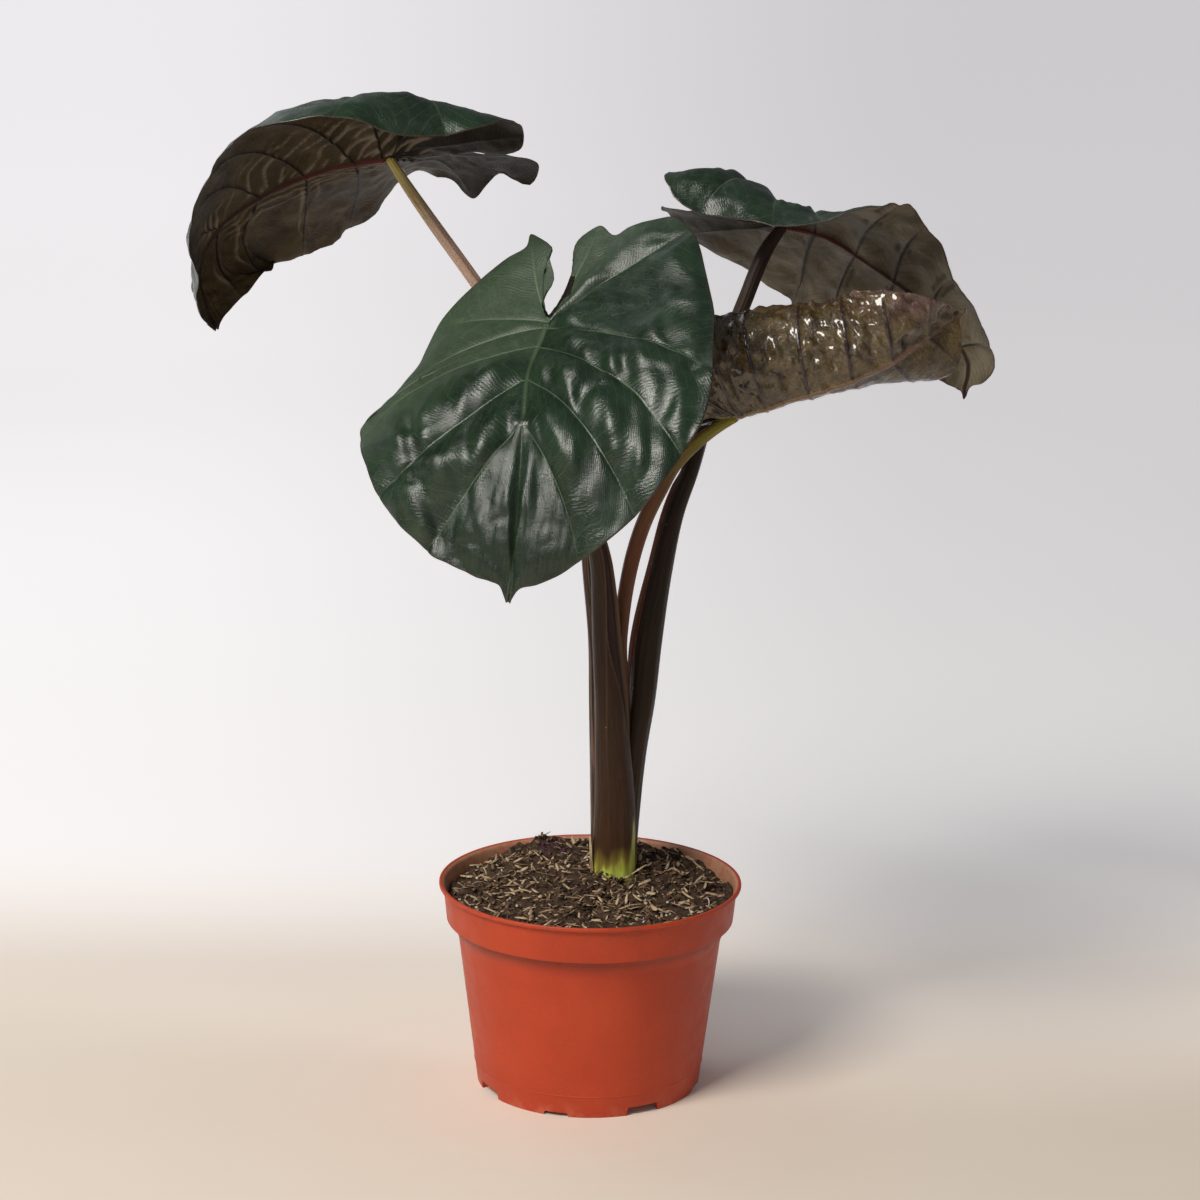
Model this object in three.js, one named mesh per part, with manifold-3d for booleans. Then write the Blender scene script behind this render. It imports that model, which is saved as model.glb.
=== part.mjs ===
// Potted alocasia with four leaves, in a plastic nursery pot.
// Millimetres, +Z up. The origin is the pot's axis on the surface it stands on.
// -Y is the front of the plant and +X is its right.

import * as THREE from "three";
import { mergeVertices } from "three/addons/utils/BufferGeometryUtils.js";
import Module from "manifold-3d";

const wasm = await Module();
wasm.setup();

// Driving dimensions: the pot and what fills it

const CLEARANCE = 0.3; // left between pieces that touch

const POT = {
  height: 131,
  lipRadius: 95,
  bandTopRadius: 92.3,
  bandRadius: 90.2,
  bandBottom: 108.5,
  shoulderRadius: 82.9,
  shoulder: 97,
  baseRadius: 70.6,
  footWidth: 2.5,
  wall: 1.5,
  floorUnderside: 6.5,
  segments: 48,
};
// The foot has four low and four high notches, each cut right through its wall.
const FOOT_NOTCHES = [
  { firstAngle: -106, width: 14, height: 2.6 },
  { firstAngle: -61, width: 20, height: 5.4 },
];
const NOTCH_DEPTH = 12;
const DRAIN_HOLES = { count: 4, firstAngle: -61, ringRadius: 54, radius: 5, middleRadius: 6, depth: 6 };

const SOIL = {
  edge: 121.5,
  wallGap: 0.5,
  stemMound: { x: 15, y: 20, spread: 48, height: 7 },
  backMound: { x: -5, y: 82, spread: 70, height: 7.5 },
  lump: 1.1,
  rings: 9,
};
const CHIPS = { count: 28, from: 28, to: 78, length: 9, width: 2.4, thickness: 1.6, seed: 7 };
const CORM = { x: 14.5, y: 18, bottom: 74, top: 113, radius: 18.8 };
const ROOTS = { count: 6, reach: 46, drop: 52, startRadius: 2.4, endRadius: 1.3, sides: 6, steps: 7 };

// Driving dimensions: the leaf blades
// A blade is laid out flat and then bent. Flat, forward runs along the midrib from the leaf
// stalk to the tip, and out runs away from the midrib. Side veins are numbered from 0 at the
// notch behind the stalk to 9 at the tip, and a row is a share of the way to the margin.

const BLADE_THICKNESS = 0.8;
const KEEL = 1.4; // how far the midrib stands out below, at the stalk
const VEIN_STEPS = [
  0, 0.35, 0.6, 0.8, 1, 1.5, 2, 2.5, 3, 3.5, 4, 4.5, 5, 5.5, 6, 6.5, 7, 7.5, 8, 8.4, 8.7, 9,
];
const ROW_STEPS = [0, 0.05, 0.2, 0.37, 0.54, 0.7, 0.86, 1];
const SPINE_SAMPLES = 600;
const BEND_STEPS = 20;

// [vein number, where it leaves the midrib as a share of the blade's length]
const VEIN_ROOTS = [
  [0, -0.032], [1, -0.016], [2, -0.005], [3, 0.021], [4, 0.117],
  [5, 0.287], [6, 0.457], [7, 0.628], [8, 0.798], [9, 1],
];
// [vein number, how far its middle bows away from the straight line, towards the tip]
const VEIN_BOWS = [
  [0, 0], [0.25, 1], [0.5, 5], [0.75, 5], [1, 3], [2, -2],
  [3, -6], [4, -6], [5, -5], [6, -4], [7, -3], [8, -1], [9, 0],
];

// spine: points along the midrib with the direction that the upper side faces there, and the
//   second point is where the stalk joins
// sections: [forward, angles of the right half, angles of the left half], in degrees above the
//   level line across the blade, at 0, 1/3, 2/3 and 1 of halfWidth from the midrib
// right, left: margins as [vein number, forward, out]
const LEAVES = {
  front: {
    length: 190,
    halfWidth: 110,
    bow: 1,
    quilt: 2.2,
    spine: [
      [[-14, -2, 539], [-0.25, -0.6, 0.76]],
      [[-29, -49, 488], [-0.32, -0.55, 0.8]],
      [[-40, -99, 459], [-0.32, -0.6, 0.76]],
      [[-41, -117, 442], [-0.32, -0.75, 0.6]],
      [[-44, -145, 381], [-0.3, -0.93, 0.36]],
      [[-48, -151, 342], [-0.3, -1, 0.1]],
    ],
    sections: [
      [-60, [0, -6, -14, -25], [8, 4, 0, -5]],
      [0, [4, -4, -16, -32], [6, 2, -2, -8]],
      [50, [5, -1, -11, -25], [4, -1, -7, -12]],
      [100, [4, -3, -9, -16], [4, -3, -9, -14]],
      [150, [0, -5, -11, -16], [0, -5, -11, -16]],
    ],
    right: [
      [0, -6, 0], [0.25, -16, 7], [0.5, -34, 4], [0.75, -51, 10.5], [0.83, -55, 9.5], [1, -67, 26],
      [1.2, -58, 28], [1.5, -48, 42], [2, -8, 78], [2.5, 20, 79], [3, 40, 84], [3.5, 52, 91],
      [3.7, 57, 98], [3.8, 60, 106], [4, 70, 106], [4.5, 100, 99], [5, 130, 88], [5.5, 150, 72],
      [6, 168, 53], [6.5, 174, 38], [7, 178, 24], [8, 180, 11], [8.4, 182, 6], [8.7, 187, 3],
      [9, 191, 1],
    ],
    left: [
      [0, -6, 0], [0.25, -15, 6], [0.45, -27, 6.5], [0.6, -37, 10], [0.75, -52, 4.5], [0.85, -61, 5],
      [1, -71, 17], [1.15, -64, 27], [1.4, -69, 38], [1.7, -76, 60], [2, -65, 77], [2.3, -48, 88],
      [2.7, 5, 105], [3, 60, 110], [3.4, 86, 107], [4, 109, 93], [4.5, 125, 81], [5, 139, 68],
      [5.5, 152, 53], [6, 163, 38], [6.5, 171, 28], [7, 177, 18], [8, 182, 6], [8.5, 186, 3],
      [9, 191, 1],
    ],
  },
  left: {
    length: 178,
    halfWidth: 108,
    bow: 1,
    quilt: 2.4,
    spine: [
      [[-32, 14, 580], [0, 0.15, 0.98]],
      [[-126, 10, 579], [-0.05, 0.25, 0.95]],
      [[-172, 5, 569], [-0.25, 0.35, 0.88]],
      [[-206, 2, 553], [-0.5, 0.38, 0.72]],
      [[-230, 0, 534], [-0.78, 0.42, 0.4]],
      [[-240, 0, 508], [-0.85, 0.42, 0.1]],
      [[-235, 0, 486], [-0.85, 0.45, -0.1]],
      [[-222, 0, 466], [-0.85, 0.45, -0.2]],
    ],
    sections: [
      [-85, [12, -24, -42, -50], [-25, 35, -60, -150]],
      [-55, [12, -19, -34, -40], [-12, 38, -50, -140]],
      [-35, [14, -6, -16, -20], [-5, 40, -45, -130]],
      [-12, [0, 2, 2, -4], [24, 34, -35, -120]],
      [12, [-3, -5, -12, -25], [28, 28, -20, -105]],
      [40, [-8, -8, -10, -16], [28, 20, -18, -75]],
      [75, [-8, -12, -15, -22], [24, 8, -15, -50]],
      [105, [-4, -12, -15, -18], [0, -12, -20, -30]],
      [140, [-15, -25, -28, -30], [-26, -36, -42, -50]],
      [178, [-15, -30, -34, -34], [-30, -40, -50, -60]],
    ],
    right: [
      [0, -6, 0], [0.3, -30, 3], [0.6, -60, 8], [0.9, -84, 14], [1.1, -91, 30], [1.3, -86, 52],
      [1.5, -70, 46], [1.75, -60, 56], [2, -50, 76], [2.2, -38, 74], [2.5, -26, 80], [3, -8, 92],
      [4, 34, 94], [4.5, 58, 88], [5, 82, 79], [5.5, 112, 62], [6, 146, 50], [6.5, 162, 38],
      [7, 169, 27], [7.5, 173, 18], [8, 175, 11], [8.6, 177, 6], [8.8, 178, 4], [9, 180, 1],
    ],
    left: [
      [0, -6, 0], [0.3, -30, 3], [0.6, -56, 9], [0.85, -78, 22], [1.1, -80, 46], [1.5, -66, 68],
      [2, -36, 88], [2.5, -6, 100], [3, 28, 96], [3.5, 54, 88], [4, 76, 80], [5, 96, 71], [6, 114, 64],
      [7, 136, 56], [8, 160, 30], [8.6, 173, 10], [8.8, 175, 5], [9, 180, 1],
    ],
  },
  right: {
    length: 172,
    halfWidth: 104,
    bow: 1,
    quilt: 2,
    spine: [
      [[36, 77, 549], [0, 0.2, 0.97]],
      [[116, 73, 536], [0.05, 0.3, 0.95]],
      [[141, 71, 530], [0.2, 0.35, 0.9]],
      [[173, 68, 511], [0.35, 0.4, 0.8]],
      [[201, 65, 491], [0.45, 0.4, 0.75]],
      [[224, 62, 468], [0.7, 0.4, 0.5]],
      [[233, 59, 452], [0.8, 0.42, 0.3]],
      [[232, 56, 438], [0.85, 0.45, 0.1]],
    ],
    sections: [
      [-75, [72, -8, -66, -100], [4, -5, -10, -15]],
      [-45, [84, 0, -72, -100], [-2, -10, -15, -20]],
      [-15, [38, -6, -46, -70], [-8, -12, -16, -25]],
      [20, [12, -8, -25, -32], [-8, -12, -16, -20]],
      [50, [4, 2, 4, 4], [-8, -14, -18, -25]],
      [80, [12, 14, 14, 12], [-8, -12, -16, -22]],
      [115, [8, 4, 0, -10], [-12, -18, -22, -25]],
      [145, [0, -5, -12, -25], [-10, -16, -20, -22]],
      [172, [0, -5, -12, -25], [-8, -10, -12, -14]],
    ],
    right: [
      [0, -6, 0], [0.3, -26, 3], [0.6, -52, 10], [0.8, -66, 20], [1, -76, 38], [1.5, -72, 64],
      [2, -54, 80], [2.5, -30, 82], [3, -8, 83], [4, 24, 93], [5, 50, 91], [6, 71, 67], [7, 102, 42],
      [8, 145, 34], [8.6, 162, 14], [8.8, 164, 5], [9, 171, 1],
    ],
    left: [
      [0, -6, 0], [0.3, -26, 3], [0.6, -50, 8], [1, -74, 20], [1.5, -76, 42], [2, -62, 66],
      [2.5, -34, 79], [3, -8, 90], [4, 32, 100], [5, 72, 92], [6, 106, 74], [7, 138, 49],
      [7.5, 151, 38], [8, 160, 27], [8.6, 165, 11], [8.8, 167, 4], [9, 171, 1],
    ],
  },
  new: {
    length: 158,
    halfWidth: 80,
    bow: 0.6,
    quilt: 1,
    spine: [
      [[48, -18, 424], [0, 0.45, 0.9]],
      [[84, -20, 430], [0, 0.45, 0.9]],
      [[115, -22, 440], [-0.1, 0.45, 0.88]],
      [[151, -24, 452], [-0.15, 0.45, 0.88]],
      [[173, -22, 462], [-0.2, 0.45, 0.85]],
      [[192, -16, 474], [-0.3, 0.4, 0.85]],
      [[206, -8, 484], [-0.4, 0.35, 0.85]],
      [[222, 0, 494], [-0.4, 0.3, 0.85]],
    ],
    sections: [
      [-50, [20, 50, 95, 170], [0, 50, 100, 175]],
      [0, [20, 52, 94, 165], [-5, 45, 100, 180]],
      [50, [28, 68, 118, 190], [-8, 40, 100, 175]],
      [90, [30, 78, 135, 205], [-28, 25, 105, 170]],
      [125, [28, 74, 130, 190], [-66, -25, 50, 130]],
      [158, [20, 50, 80, 110], [-85, -70, -30, 20]],
    ],
    right: [
      [0, -6, 0], [0.3, -24, 4], [0.6, -42, 10], [1, -58, 22], [1.5, -60, 42], [2, -50, 60],
      [2.5, -32, 72], [3, -10, 79], [4, 28, 84], [5, 60, 80], [6, 92, 65], [7, 116, 44], [8, 136, 23],
      [8.6, 147, 9], [8.8, 150, 4], [9, 158, 1],
    ],
    left: [
      [0, -6, 0], [0.3, -24, 4], [0.6, -42, 9], [1, -56, 20], [1.5, -58, 38], [2, -50, 54],
      [2.5, -32, 66], [3, -10, 72], [4, 28, 76], [5, 60, 74], [6, 92, 64], [7, 118, 49], [8, 138, 28],
      [8.6, 147, 11], [8.8, 150, 4], [9, 158, 1],
    ],
  },
};

// Driving dimensions: the leaf stalks, as [x, y, z, half width, half depth] along each stalk

const STALK_SIDES = 10;
const STALK_STEPS = 22;
const STALKS = {
  front: [
    [14.6, 15, 106, 13.8, 11.2], [14.6, 15, 138, 13.8, 11], [14.7, 14, 178, 12.6, 9.5],
    [12.7, 12, 212, 11, 8.5], [11.3, 8, 245, 10, 7.8], [8.3, 3, 285, 8.8, 7], [6.5, -1, 311, 7.8, 6.3],
    [4.4, -5, 334, 6.6, 5.8], [-9, -16, 383, 5, 5], [-21, -33, 429, 4.2, 4.2], [-27, -44, 470, 3.3, 3.3],
    [-29, -49, 488, 3, 3],
  ],
  left: [
    [6.5, 25.5, 106, 5.9, 5.9], [6, 26, 138, 5.9, 5.9], [4.5, 25, 200, 5.8, 5.8],
    [3.5, 24, 241, 5.6, 5.6], [2.4, 23, 280, 5.4, 5.4], [-2.5, 21, 329, 5, 5],
    [-6, 21, 376, 4.8, 4.8], [-22, 21, 420, 4.4, 4.4], [-45, 21, 462, 4.2, 4.2],
    [-73, 21, 502, 3.9, 3.9], [-112, 16, 557, 3.3, 3.3], [-126, 10, 579, 2.6, 2.6],
  ],
  right: [
    [21.4, 25, 106, 8, 8], [21.3, 25, 136, 8, 8], [23.3, 26, 175, 8.2, 8.2],
    [26.3, 28, 208, 8.4, 8.4], [31, 31, 240, 8.6, 8.4], [34.2, 36, 277, 9.3, 8],
    [42.7, 41, 325, 7.2, 7], [50.4, 45, 359, 6.3, 6.2], [59.4, 49, 384, 5.6, 5.6],
    [66.5, 54, 409, 5.1, 5.1], [92.5, 69, 489, 4.6, 4.6], [107, 74, 523, 4.2, 4.2],
    [116, 73, 536, 3, 3],
  ],
  new: [
    [20, 20, 106, 5, 5], [20, 20, 137, 5, 5], [19, 20, 200, 5, 5], [18.6, 20, 242, 4.8, 4.8],
    [16.8, 17, 282, 4.5, 4.5], [17.8, 16, 295, 4.5, 4.5], [20, 13, 315, 4.6, 4.6],
    [25.2, 10, 341, 4.7, 4.7], [31, 6, 360, 4.7, 4.7], [39.8, 0, 380, 4.5, 4.5],
    [48.5, -6, 397, 4.3, 4.3], [61.4, -12, 412, 4.1, 4.1], [76, -18, 424, 3.4, 3.4],
    [84, -20, 428.5, 2.6, 2.6],
  ],
};
// The right stalk's sheath is open on its left, where the new leaf's stalk has slid out of it.
const SHEATH_OPENING = [
  [21, 23, 228, 3.6, 3.6], [25.5, 30, 255, 4.4, 4.4], [28, 34.5, 285, 4.4, 4.4], [36, 40, 325, 3.6, 3.6],
  [45, 44, 359, 2.4, 2.4], [53.5, 48, 384, 0.6, 0.6],
];
// The dry bract is a strip round the left foot of the front stalk.
const BRACT = {
  bottom: 123,
  top: 154,
  fromAngle: 160,
  toAngle: 216,
  narrowing: 0.6,
  flare: 0.9,
  thickness: 0.7,
  steps: 5,
};

// Colours and finishes

const MATERIALS = {
  potPlastic: { color: 0xb8452b, roughness: 0.55, metalness: 0 },
  soil: { color: 0x3a2b22, roughness: 0.95, metalness: 0 },
  corm: { color: 0x8a6a4a, roughness: 0.8, metalness: 0 },
  bract: { color: 0xb9a58c, roughness: 0.8, metalness: 0 },
  stalk: { color: 0x46302a, roughness: 0.45, metalness: 0 },
  newStalk: { color: 0x5e3a26, roughness: 0.45, metalness: 0 },
  blade: { color: 0x1f4030, roughness: 0.4, metalness: 0 },
  newBlade: { color: 0x5a4433, roughness: 0.3, metalness: 0 },
};

// Curves and random numbers

function slopeAt(rows, i, column) {
  const last = rows.length - 1;
  const rise = (a, b) => (rows[b][column] - rows[a][column]) / (rows[b][0] - rows[a][0]);
  if (i === 0) return rise(0, 1);
  if (i === last) return rise(last - 1, last);
  const before = rows[i][0] - rows[i - 1][0];
  const after = rows[i + 1][0] - rows[i][0];
  return (rise(i - 1, i) * after + rise(i, i + 1) * before) / (before + after);
}

// A smooth curve through rows of [key, value, value, ...], straight beyond its ends.
function curveAt(rows, key) {
  const last = rows.length - 1;
  const columns = rows[0].length - 1;
  const values = [];
  let i = 0;
  while (i < last - 1 && key >= rows[i + 1][0]) i += 1;
  const span = rows[i + 1][0] - rows[i][0];
  const t = (key - rows[i][0]) / span;
  for (let column = 1; column <= columns; column += 1) {
    if (key < rows[0][0]) {
      values.push(rows[0][column] + (key - rows[0][0]) * slopeAt(rows, 0, column));
    } else if (key > rows[last][0]) {
      values.push(rows[last][column] + (key - rows[last][0]) * slopeAt(rows, last, column));
    } else {
      const start = (2 * t - 3) * t * t + 1;
      const end = 1 - start;
      const leave = t * (t - 1) * (t - 1) * span;
      const arrive = t * t * (t - 1) * span;
      values.push(start * rows[i][column] + end * rows[i + 1][column]
        + leave * slopeAt(rows, i, column) + arrive * slopeAt(rows, i + 1, column));
    }
  }
  return values;
}

// Rows of [key, value] joined by straight lines.
function lineAt(rows, key) {
  let i = 0;
  while (i < rows.length - 2 && key >= rows[i + 1][0]) i += 1;
  const t = (key - rows[i][0]) / (rows[i + 1][0] - rows[i][0]);
  return rows[i][1] + t * (rows[i + 1][1] - rows[i][1]);
}

function distanceRows(points) {
  let along = 0;
  return points.map((point, i) => {
    if (i > 0) {
      const before = points[i - 1];
      along += Math.hypot(point[0] - before[0], point[1] - before[1], point[2] - before[2]);
    }
    return [along, ...point];
  });
}

function smoothStep(from, to, value) {
  const t = Math.min(1, Math.max(0, (value - from) / (to - from)));
  return t * t * (3 - 2 * t);
}

function randomSource(seed) {
  let state = seed;
  return () => {
    state = (state * 1664525 + 1013904223) % 4294967296;
    return state / 4294967296;
  };
}

// Solids

function geometryFrom(positions, triangles) {
  const geometry = new THREE.BufferGeometry();
  geometry.setAttribute("position", new THREE.Float32BufferAttribute(positions, 3));
  geometry.setIndex(triangles);
  return geometry;
}

function signedVolume(positions, triangles) {
  let volume = 0;
  const corner = (index) => new THREE.Vector3().fromArray(positions, index * 3);
  for (let i = 0; i < triangles.length; i += 3) {
    const [a, b, c] = [corner(triangles[i]), corner(triangles[i + 1]), corner(triangles[i + 2])];
    volume += a.dot(b.cross(c)) / 6;
  }
  return volume;
}

// A closed geometry becomes a solid with its faces pointing out.
function solidFrom(geometry) {
  const bare = geometry.clone();
  bare.deleteAttribute("normal");
  bare.deleteAttribute("uv");
  const merged = mergeVertices(bare, 1e-4);
  const positions = merged.attributes.position.array;
  const triangles = [];
  for (let i = 0; i < merged.index.count; i += 3) {
    const [a, b, c] = merged.index.array.slice(i, i + 3);
    if (a !== b && b !== c && c !== a) triangles.push(a, b, c);
  }
  if (signedVolume(positions, triangles) < 0) triangles.reverse();
  return new wasm.Manifold(new wasm.Mesh({
    numProp: 3,
    vertProperties: Float32Array.from(positions),
    triVerts: Uint32Array.from(triangles),
  }));
}

function geometryOf(solid) {
  const mesh = solid.getMesh();
  return geometryFrom(Array.from(mesh.vertProperties), Array.from(mesh.triVerts));
}

function largestPiece(solid) {
  return solid.decompose().reduce((best, piece) => (piece.volume() > best.volume() ? piece : best));
}

// A lathed outline of [radius, height] pairs, turned to stand along Z.
function lathedSolid(outline, segments) {
  const geometry = new THREE.LatheGeometry(outline.map(([r, z]) => new THREE.Vector2(r, z)), segments);
  return solidFrom(geometry.rotateX(Math.PI / 2));
}

// A tube through rows of [x, y, z, half width, half depth], closed at both ends.
function tubeSolid(rows, { grow = 0, sides = STALK_SIDES, steps = STALK_STEPS } = {}) {
  const stations = distanceRows(rows);
  const length = stations.at(-1)[0];
  const step = length / steps;
  const centreAt = (along) => new THREE.Vector3(...curveAt(stations, along).slice(0, 3));
  const positions = [];
  const triangles = [];
  for (let i = 0; i <= steps; i += 1) {
    const along = i * step;
    const [halfWidth, halfDepth] = curveAt(stations, along).slice(3);
    const forward = centreAt(along + 0.5).sub(centreAt(along - 0.5)).normalize();
    const across = new THREE.Vector3(0, 1, 0).cross(forward).normalize();
    const deep = forward.clone().cross(across);
    const overrun = i === 0 ? -grow : i === steps ? grow : 0;
    for (let k = 0; k < sides; k += 1) {
      const turn = (k / sides) * 2 * Math.PI;
      const point = centreAt(along)
        .addScaledVector(forward, overrun)
        .addScaledVector(across, Math.cos(turn) * (halfWidth + grow))
        .addScaledVector(deep, Math.sin(turn) * (halfDepth + grow));
      positions.push(...point.toArray());
    }
  }
  for (let i = 0; i < steps; i += 1) {
    for (let k = 0; k < sides; k += 1) {
      const a = i * sides + k;
      const b = i * sides + ((k + 1) % sides);
      triangles.push(a, b, b + sides, a, b + sides, a + sides);
    }
  }
  const top = steps * sides;
  for (let k = 1; k < sides - 1; k += 1) {
    triangles.push(0, k + 1, k, top, top + k, top + k + 1);
  }
  return solidFrom(geometryFrom(positions, triangles));
}

// Leaf blades

class Blade {
  constructor(plan) {
    this.plan = plan;
    this.veinRoots = VEIN_ROOTS.map(([vein, share]) => [vein, share * plan.length]);
    const points = distanceRows(plan.spine.map(([point]) => point));
    const facings = plan.spine.map(([, facing], i) => {
      return [points[i][0], ...new THREE.Vector3(...facing).normalize().toArray()];
    });
    const end = points.at(-1)[0];
    this.samples = [];
    for (let i = 0; i < SPINE_SAMPLES; i += 1) {
      const along = (end * i) / (SPINE_SAMPLES - 1);
      this.samples.push({
        along,
        centre: new THREE.Vector3(...curveAt(points, along)),
        up: new THREE.Vector3(...curveAt(facings, along)),
      });
    }
    this.samples.forEach((sample, i) => {
      const before = this.samples[Math.max(0, i - 1)];
      const after = this.samples[Math.min(SPINE_SAMPLES - 1, i + 1)];
      sample.forward = after.centre.clone().sub(before.centre).normalize();
      sample.up.addScaledVector(sample.forward, -sample.up.dot(sample.forward)).normalize();
      sample.out = sample.forward.clone().cross(sample.up);
      sample.arc = i === 0 ? 0 : before.arc + sample.centre.distanceTo(before.centre);
    });
    const joint = this.samples.find((sample) => sample.along >= points[1][0]).arc;
    this.samples.forEach((sample) => {
      sample.arc -= joint;
    });
  }

  // The midrib's point and directions at a distance forward of the stalk.
  frameAt(forward) {
    const last = this.samples.length - 1;
    let low = 0;
    let high = last;
    while (high - low > 1) {
      const middle = Math.floor((low + high) / 2);
      if (this.samples[middle].arc <= forward) low = middle;
      else high = middle;
    }
    const [a, b] = [this.samples[low], this.samples[high]];
    const t = (forward - a.arc) / (b.arc - a.arc);
    const mix = Math.min(1, Math.max(0, t));
    const blend = (name) => a[name].clone().lerp(b[name], mix);
    const frame = { forward: blend("forward"), up: blend("up"), out: blend("out") };
    frame.centre = a.centre.clone().lerp(b.centre, mix);
    frame.centre.addScaledVector(frame.forward, (t - mix) * (b.arc - a.arc));
    return frame;
  }

  // The angle above the level line, in radians, at a share of halfWidth from the midrib.
  angleAt(angles, share) {
    const spot = Math.min(1.2, share) * 3;
    const i = Math.min(2, Math.floor(spot));
    const t = spot - i;
    const leave = i > 0 ? (angles[i + 1] - angles[i - 1]) / 2 : angles[1] - angles[0];
    const arrive = i < 2 ? (angles[i + 2] - angles[i]) / 2 : angles[3] - angles[2];
    const start = (2 * t - 3) * t * t + 1;
    const degrees = start * angles[i] + (1 - start) * angles[i + 1]
      + t * (t - 1) * (t - 1) * leave + t * t * (t - 1) * arrive;
    return THREE.MathUtils.degToRad(degrees);
  }

  // A point of the flat blade, bent into place. side is 1 on the right and -1 on the left.
  bend(side, forward, out) {
    const { centre, up, out: across } = this.frameAt(forward);
    const angles = curveAt(this.plan.sections.map((row) => [row[0], ...row[side > 0 ? 1 : 2]]), forward);
    const step = out / BEND_STEPS;
    for (let i = 0; i < BEND_STEPS; i += 1) {
      const angle = this.angleAt(angles, ((i + 0.5) * step) / this.plan.halfWidth);
      centre.addScaledVector(across, side * Math.cos(angle) * step);
      centre.addScaledVector(up, Math.sin(angle) * step);
    }
    return centre;
  }

  // The flat place of a vein number and row, as [forward, out].
  flatAt(side, vein, row) {
    const [marginForward, marginOut] = curveAt(side > 0 ? this.plan.right : this.plan.left, vein);
    const root = lineAt(this.veinRoots, vein);
    const run = marginForward - root;
    const length = Math.hypot(run, marginOut) + 1e-9;
    const bow = this.plan.bow * lineAt(VEIN_BOWS, vein) * 4 * row * (1 - row);
    return [
      root + run * row + (marginOut / length) * bow,
      Math.max(0, marginOut * row - (run / length) * bow),
    ];
  }

  // How far the blade swells up between its veins.
  swellAt(vein, row) {
    const between = Math.sin(Math.PI * vein) ** 2;
    const fade = smoothStep(0, 0.25, row) * (1 - 0.7 * smoothStep(0.6, 1, row));
    return this.plan.quilt * between * fade * smoothStep(0.8, 2, vein) * (1 - smoothStep(7.5, 8.5, vein));
  }

  // The blade as one sheet of triangles, upper side out, with its swelling.
  sheet() {
    const positions = [];
    const swells = [];
    const keels = [];
    const triangles = [];
    const lastVein = VEIN_STEPS.length - 1;
    const lastRow = ROW_STEPS.length - 1;
    const addPoint = (side, vein, row) => {
      const [forward, out] = this.flatAt(side, vein, row);
      positions.push(...this.bend(side, forward, out).toArray());
      swells.push(this.swellAt(vein, row));
      keels.push(row === 0 ? KEEL * (1 - vein / 9) : 0);
      return swells.length - 1;
    };
    const ribPoints = VEIN_STEPS.map((vein) => addPoint(1, vein, 0));
    for (const side of [1, -1]) {
      const grid = VEIN_STEPS.map((vein, i) => ROW_STEPS.map((row, j) => {
        return j === 0 || i === 0 || i === lastVein ? ribPoints[i] : addPoint(side, vein, row);
      }));
      for (let i = 0; i < lastVein; i += 1) {
        for (let j = 0; j < lastRow; j += 1) {
          const [a, b, c, d] = [grid[i][j], grid[i][j + 1], grid[i + 1][j + 1], grid[i + 1][j]];
          const corners = side > 0 ? [[a, b, c], [a, c, d]] : [[a, d, c], [a, c, b]];
          corners.filter((t) => new Set(t).size === 3).forEach((t) => triangles.push(...t));
        }
      }
    }
    const lift = normalsOf(positions, triangles);
    swells.forEach((swell, i) => {
      for (let axis = 0; axis < 3; axis += 1) positions[i * 3 + axis] += lift[i * 3 + axis] * swell;
    });
    return { positions, triangles, keels, normals: normalsOf(positions, triangles) };
  }
}

function normalsOf(positions, triangles) {
  const geometry = geometryFrom(positions, triangles);
  geometry.computeVertexNormals();
  return geometry.attributes.normal.array;
}

// A sheet gets its thickness: above and below are distances from the sheet's own surface.
function thickened({ positions, triangles, keels, normals }, above, below) {
  const count = keels.length;
  const points = [];
  const faces = [...triangles];
  const edges = new Set();
  for (const layer of [above, -below]) {
    for (let i = 0; i < count; i += 1) {
      const offset = layer > 0 ? layer : layer - keels[i];
      for (let axis = 0; axis < 3; axis += 1) {
        points.push(positions[i * 3 + axis] + normals[i * 3 + axis] * offset);
      }
    }
  }
  for (let i = 0; i < triangles.length; i += 3) {
    const [a, b, c] = triangles.slice(i, i + 3);
    faces.push(a + count, c + count, b + count);
    [[a, b], [b, c], [c, a]].forEach(([from, to]) => edges.add(`${from} ${to}`));
  }
  for (const edge of edges) {
    const [from, to] = edge.split(" ").map(Number);
    if (!edges.has(`${to} ${from}`)) {
      faces.push(to, from, from + count, to, from + count, to + count);
    }
  }
  return geometryFrom(points, faces);
}

// The pot

// The pot's inside from the lip down to the middle of its floor, as [radius, height].
function potInside() {
  const { wall, floorUnderside, height, bandRadius, bandBottom, shoulderRadius, shoulder } = POT;
  const floorTop = floorUnderside + wall;
  const slope = (shoulderRadius - POT.baseRadius) / shoulder;
  return [
    [POT.bandTopRadius - wall, height - 5],
    [bandRadius - wall, bandBottom + 0.8],
    [bandRadius - wall - 1, bandBottom - 3],
    [bandRadius - wall - 4, bandBottom - 6],
    [shoulderRadius - wall, shoulder + 2],
    [shoulderRadius - wall, shoulder],
    [POT.baseRadius - wall + slope * floorTop, floorTop],
    [0, floorTop],
  ];
}

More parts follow.
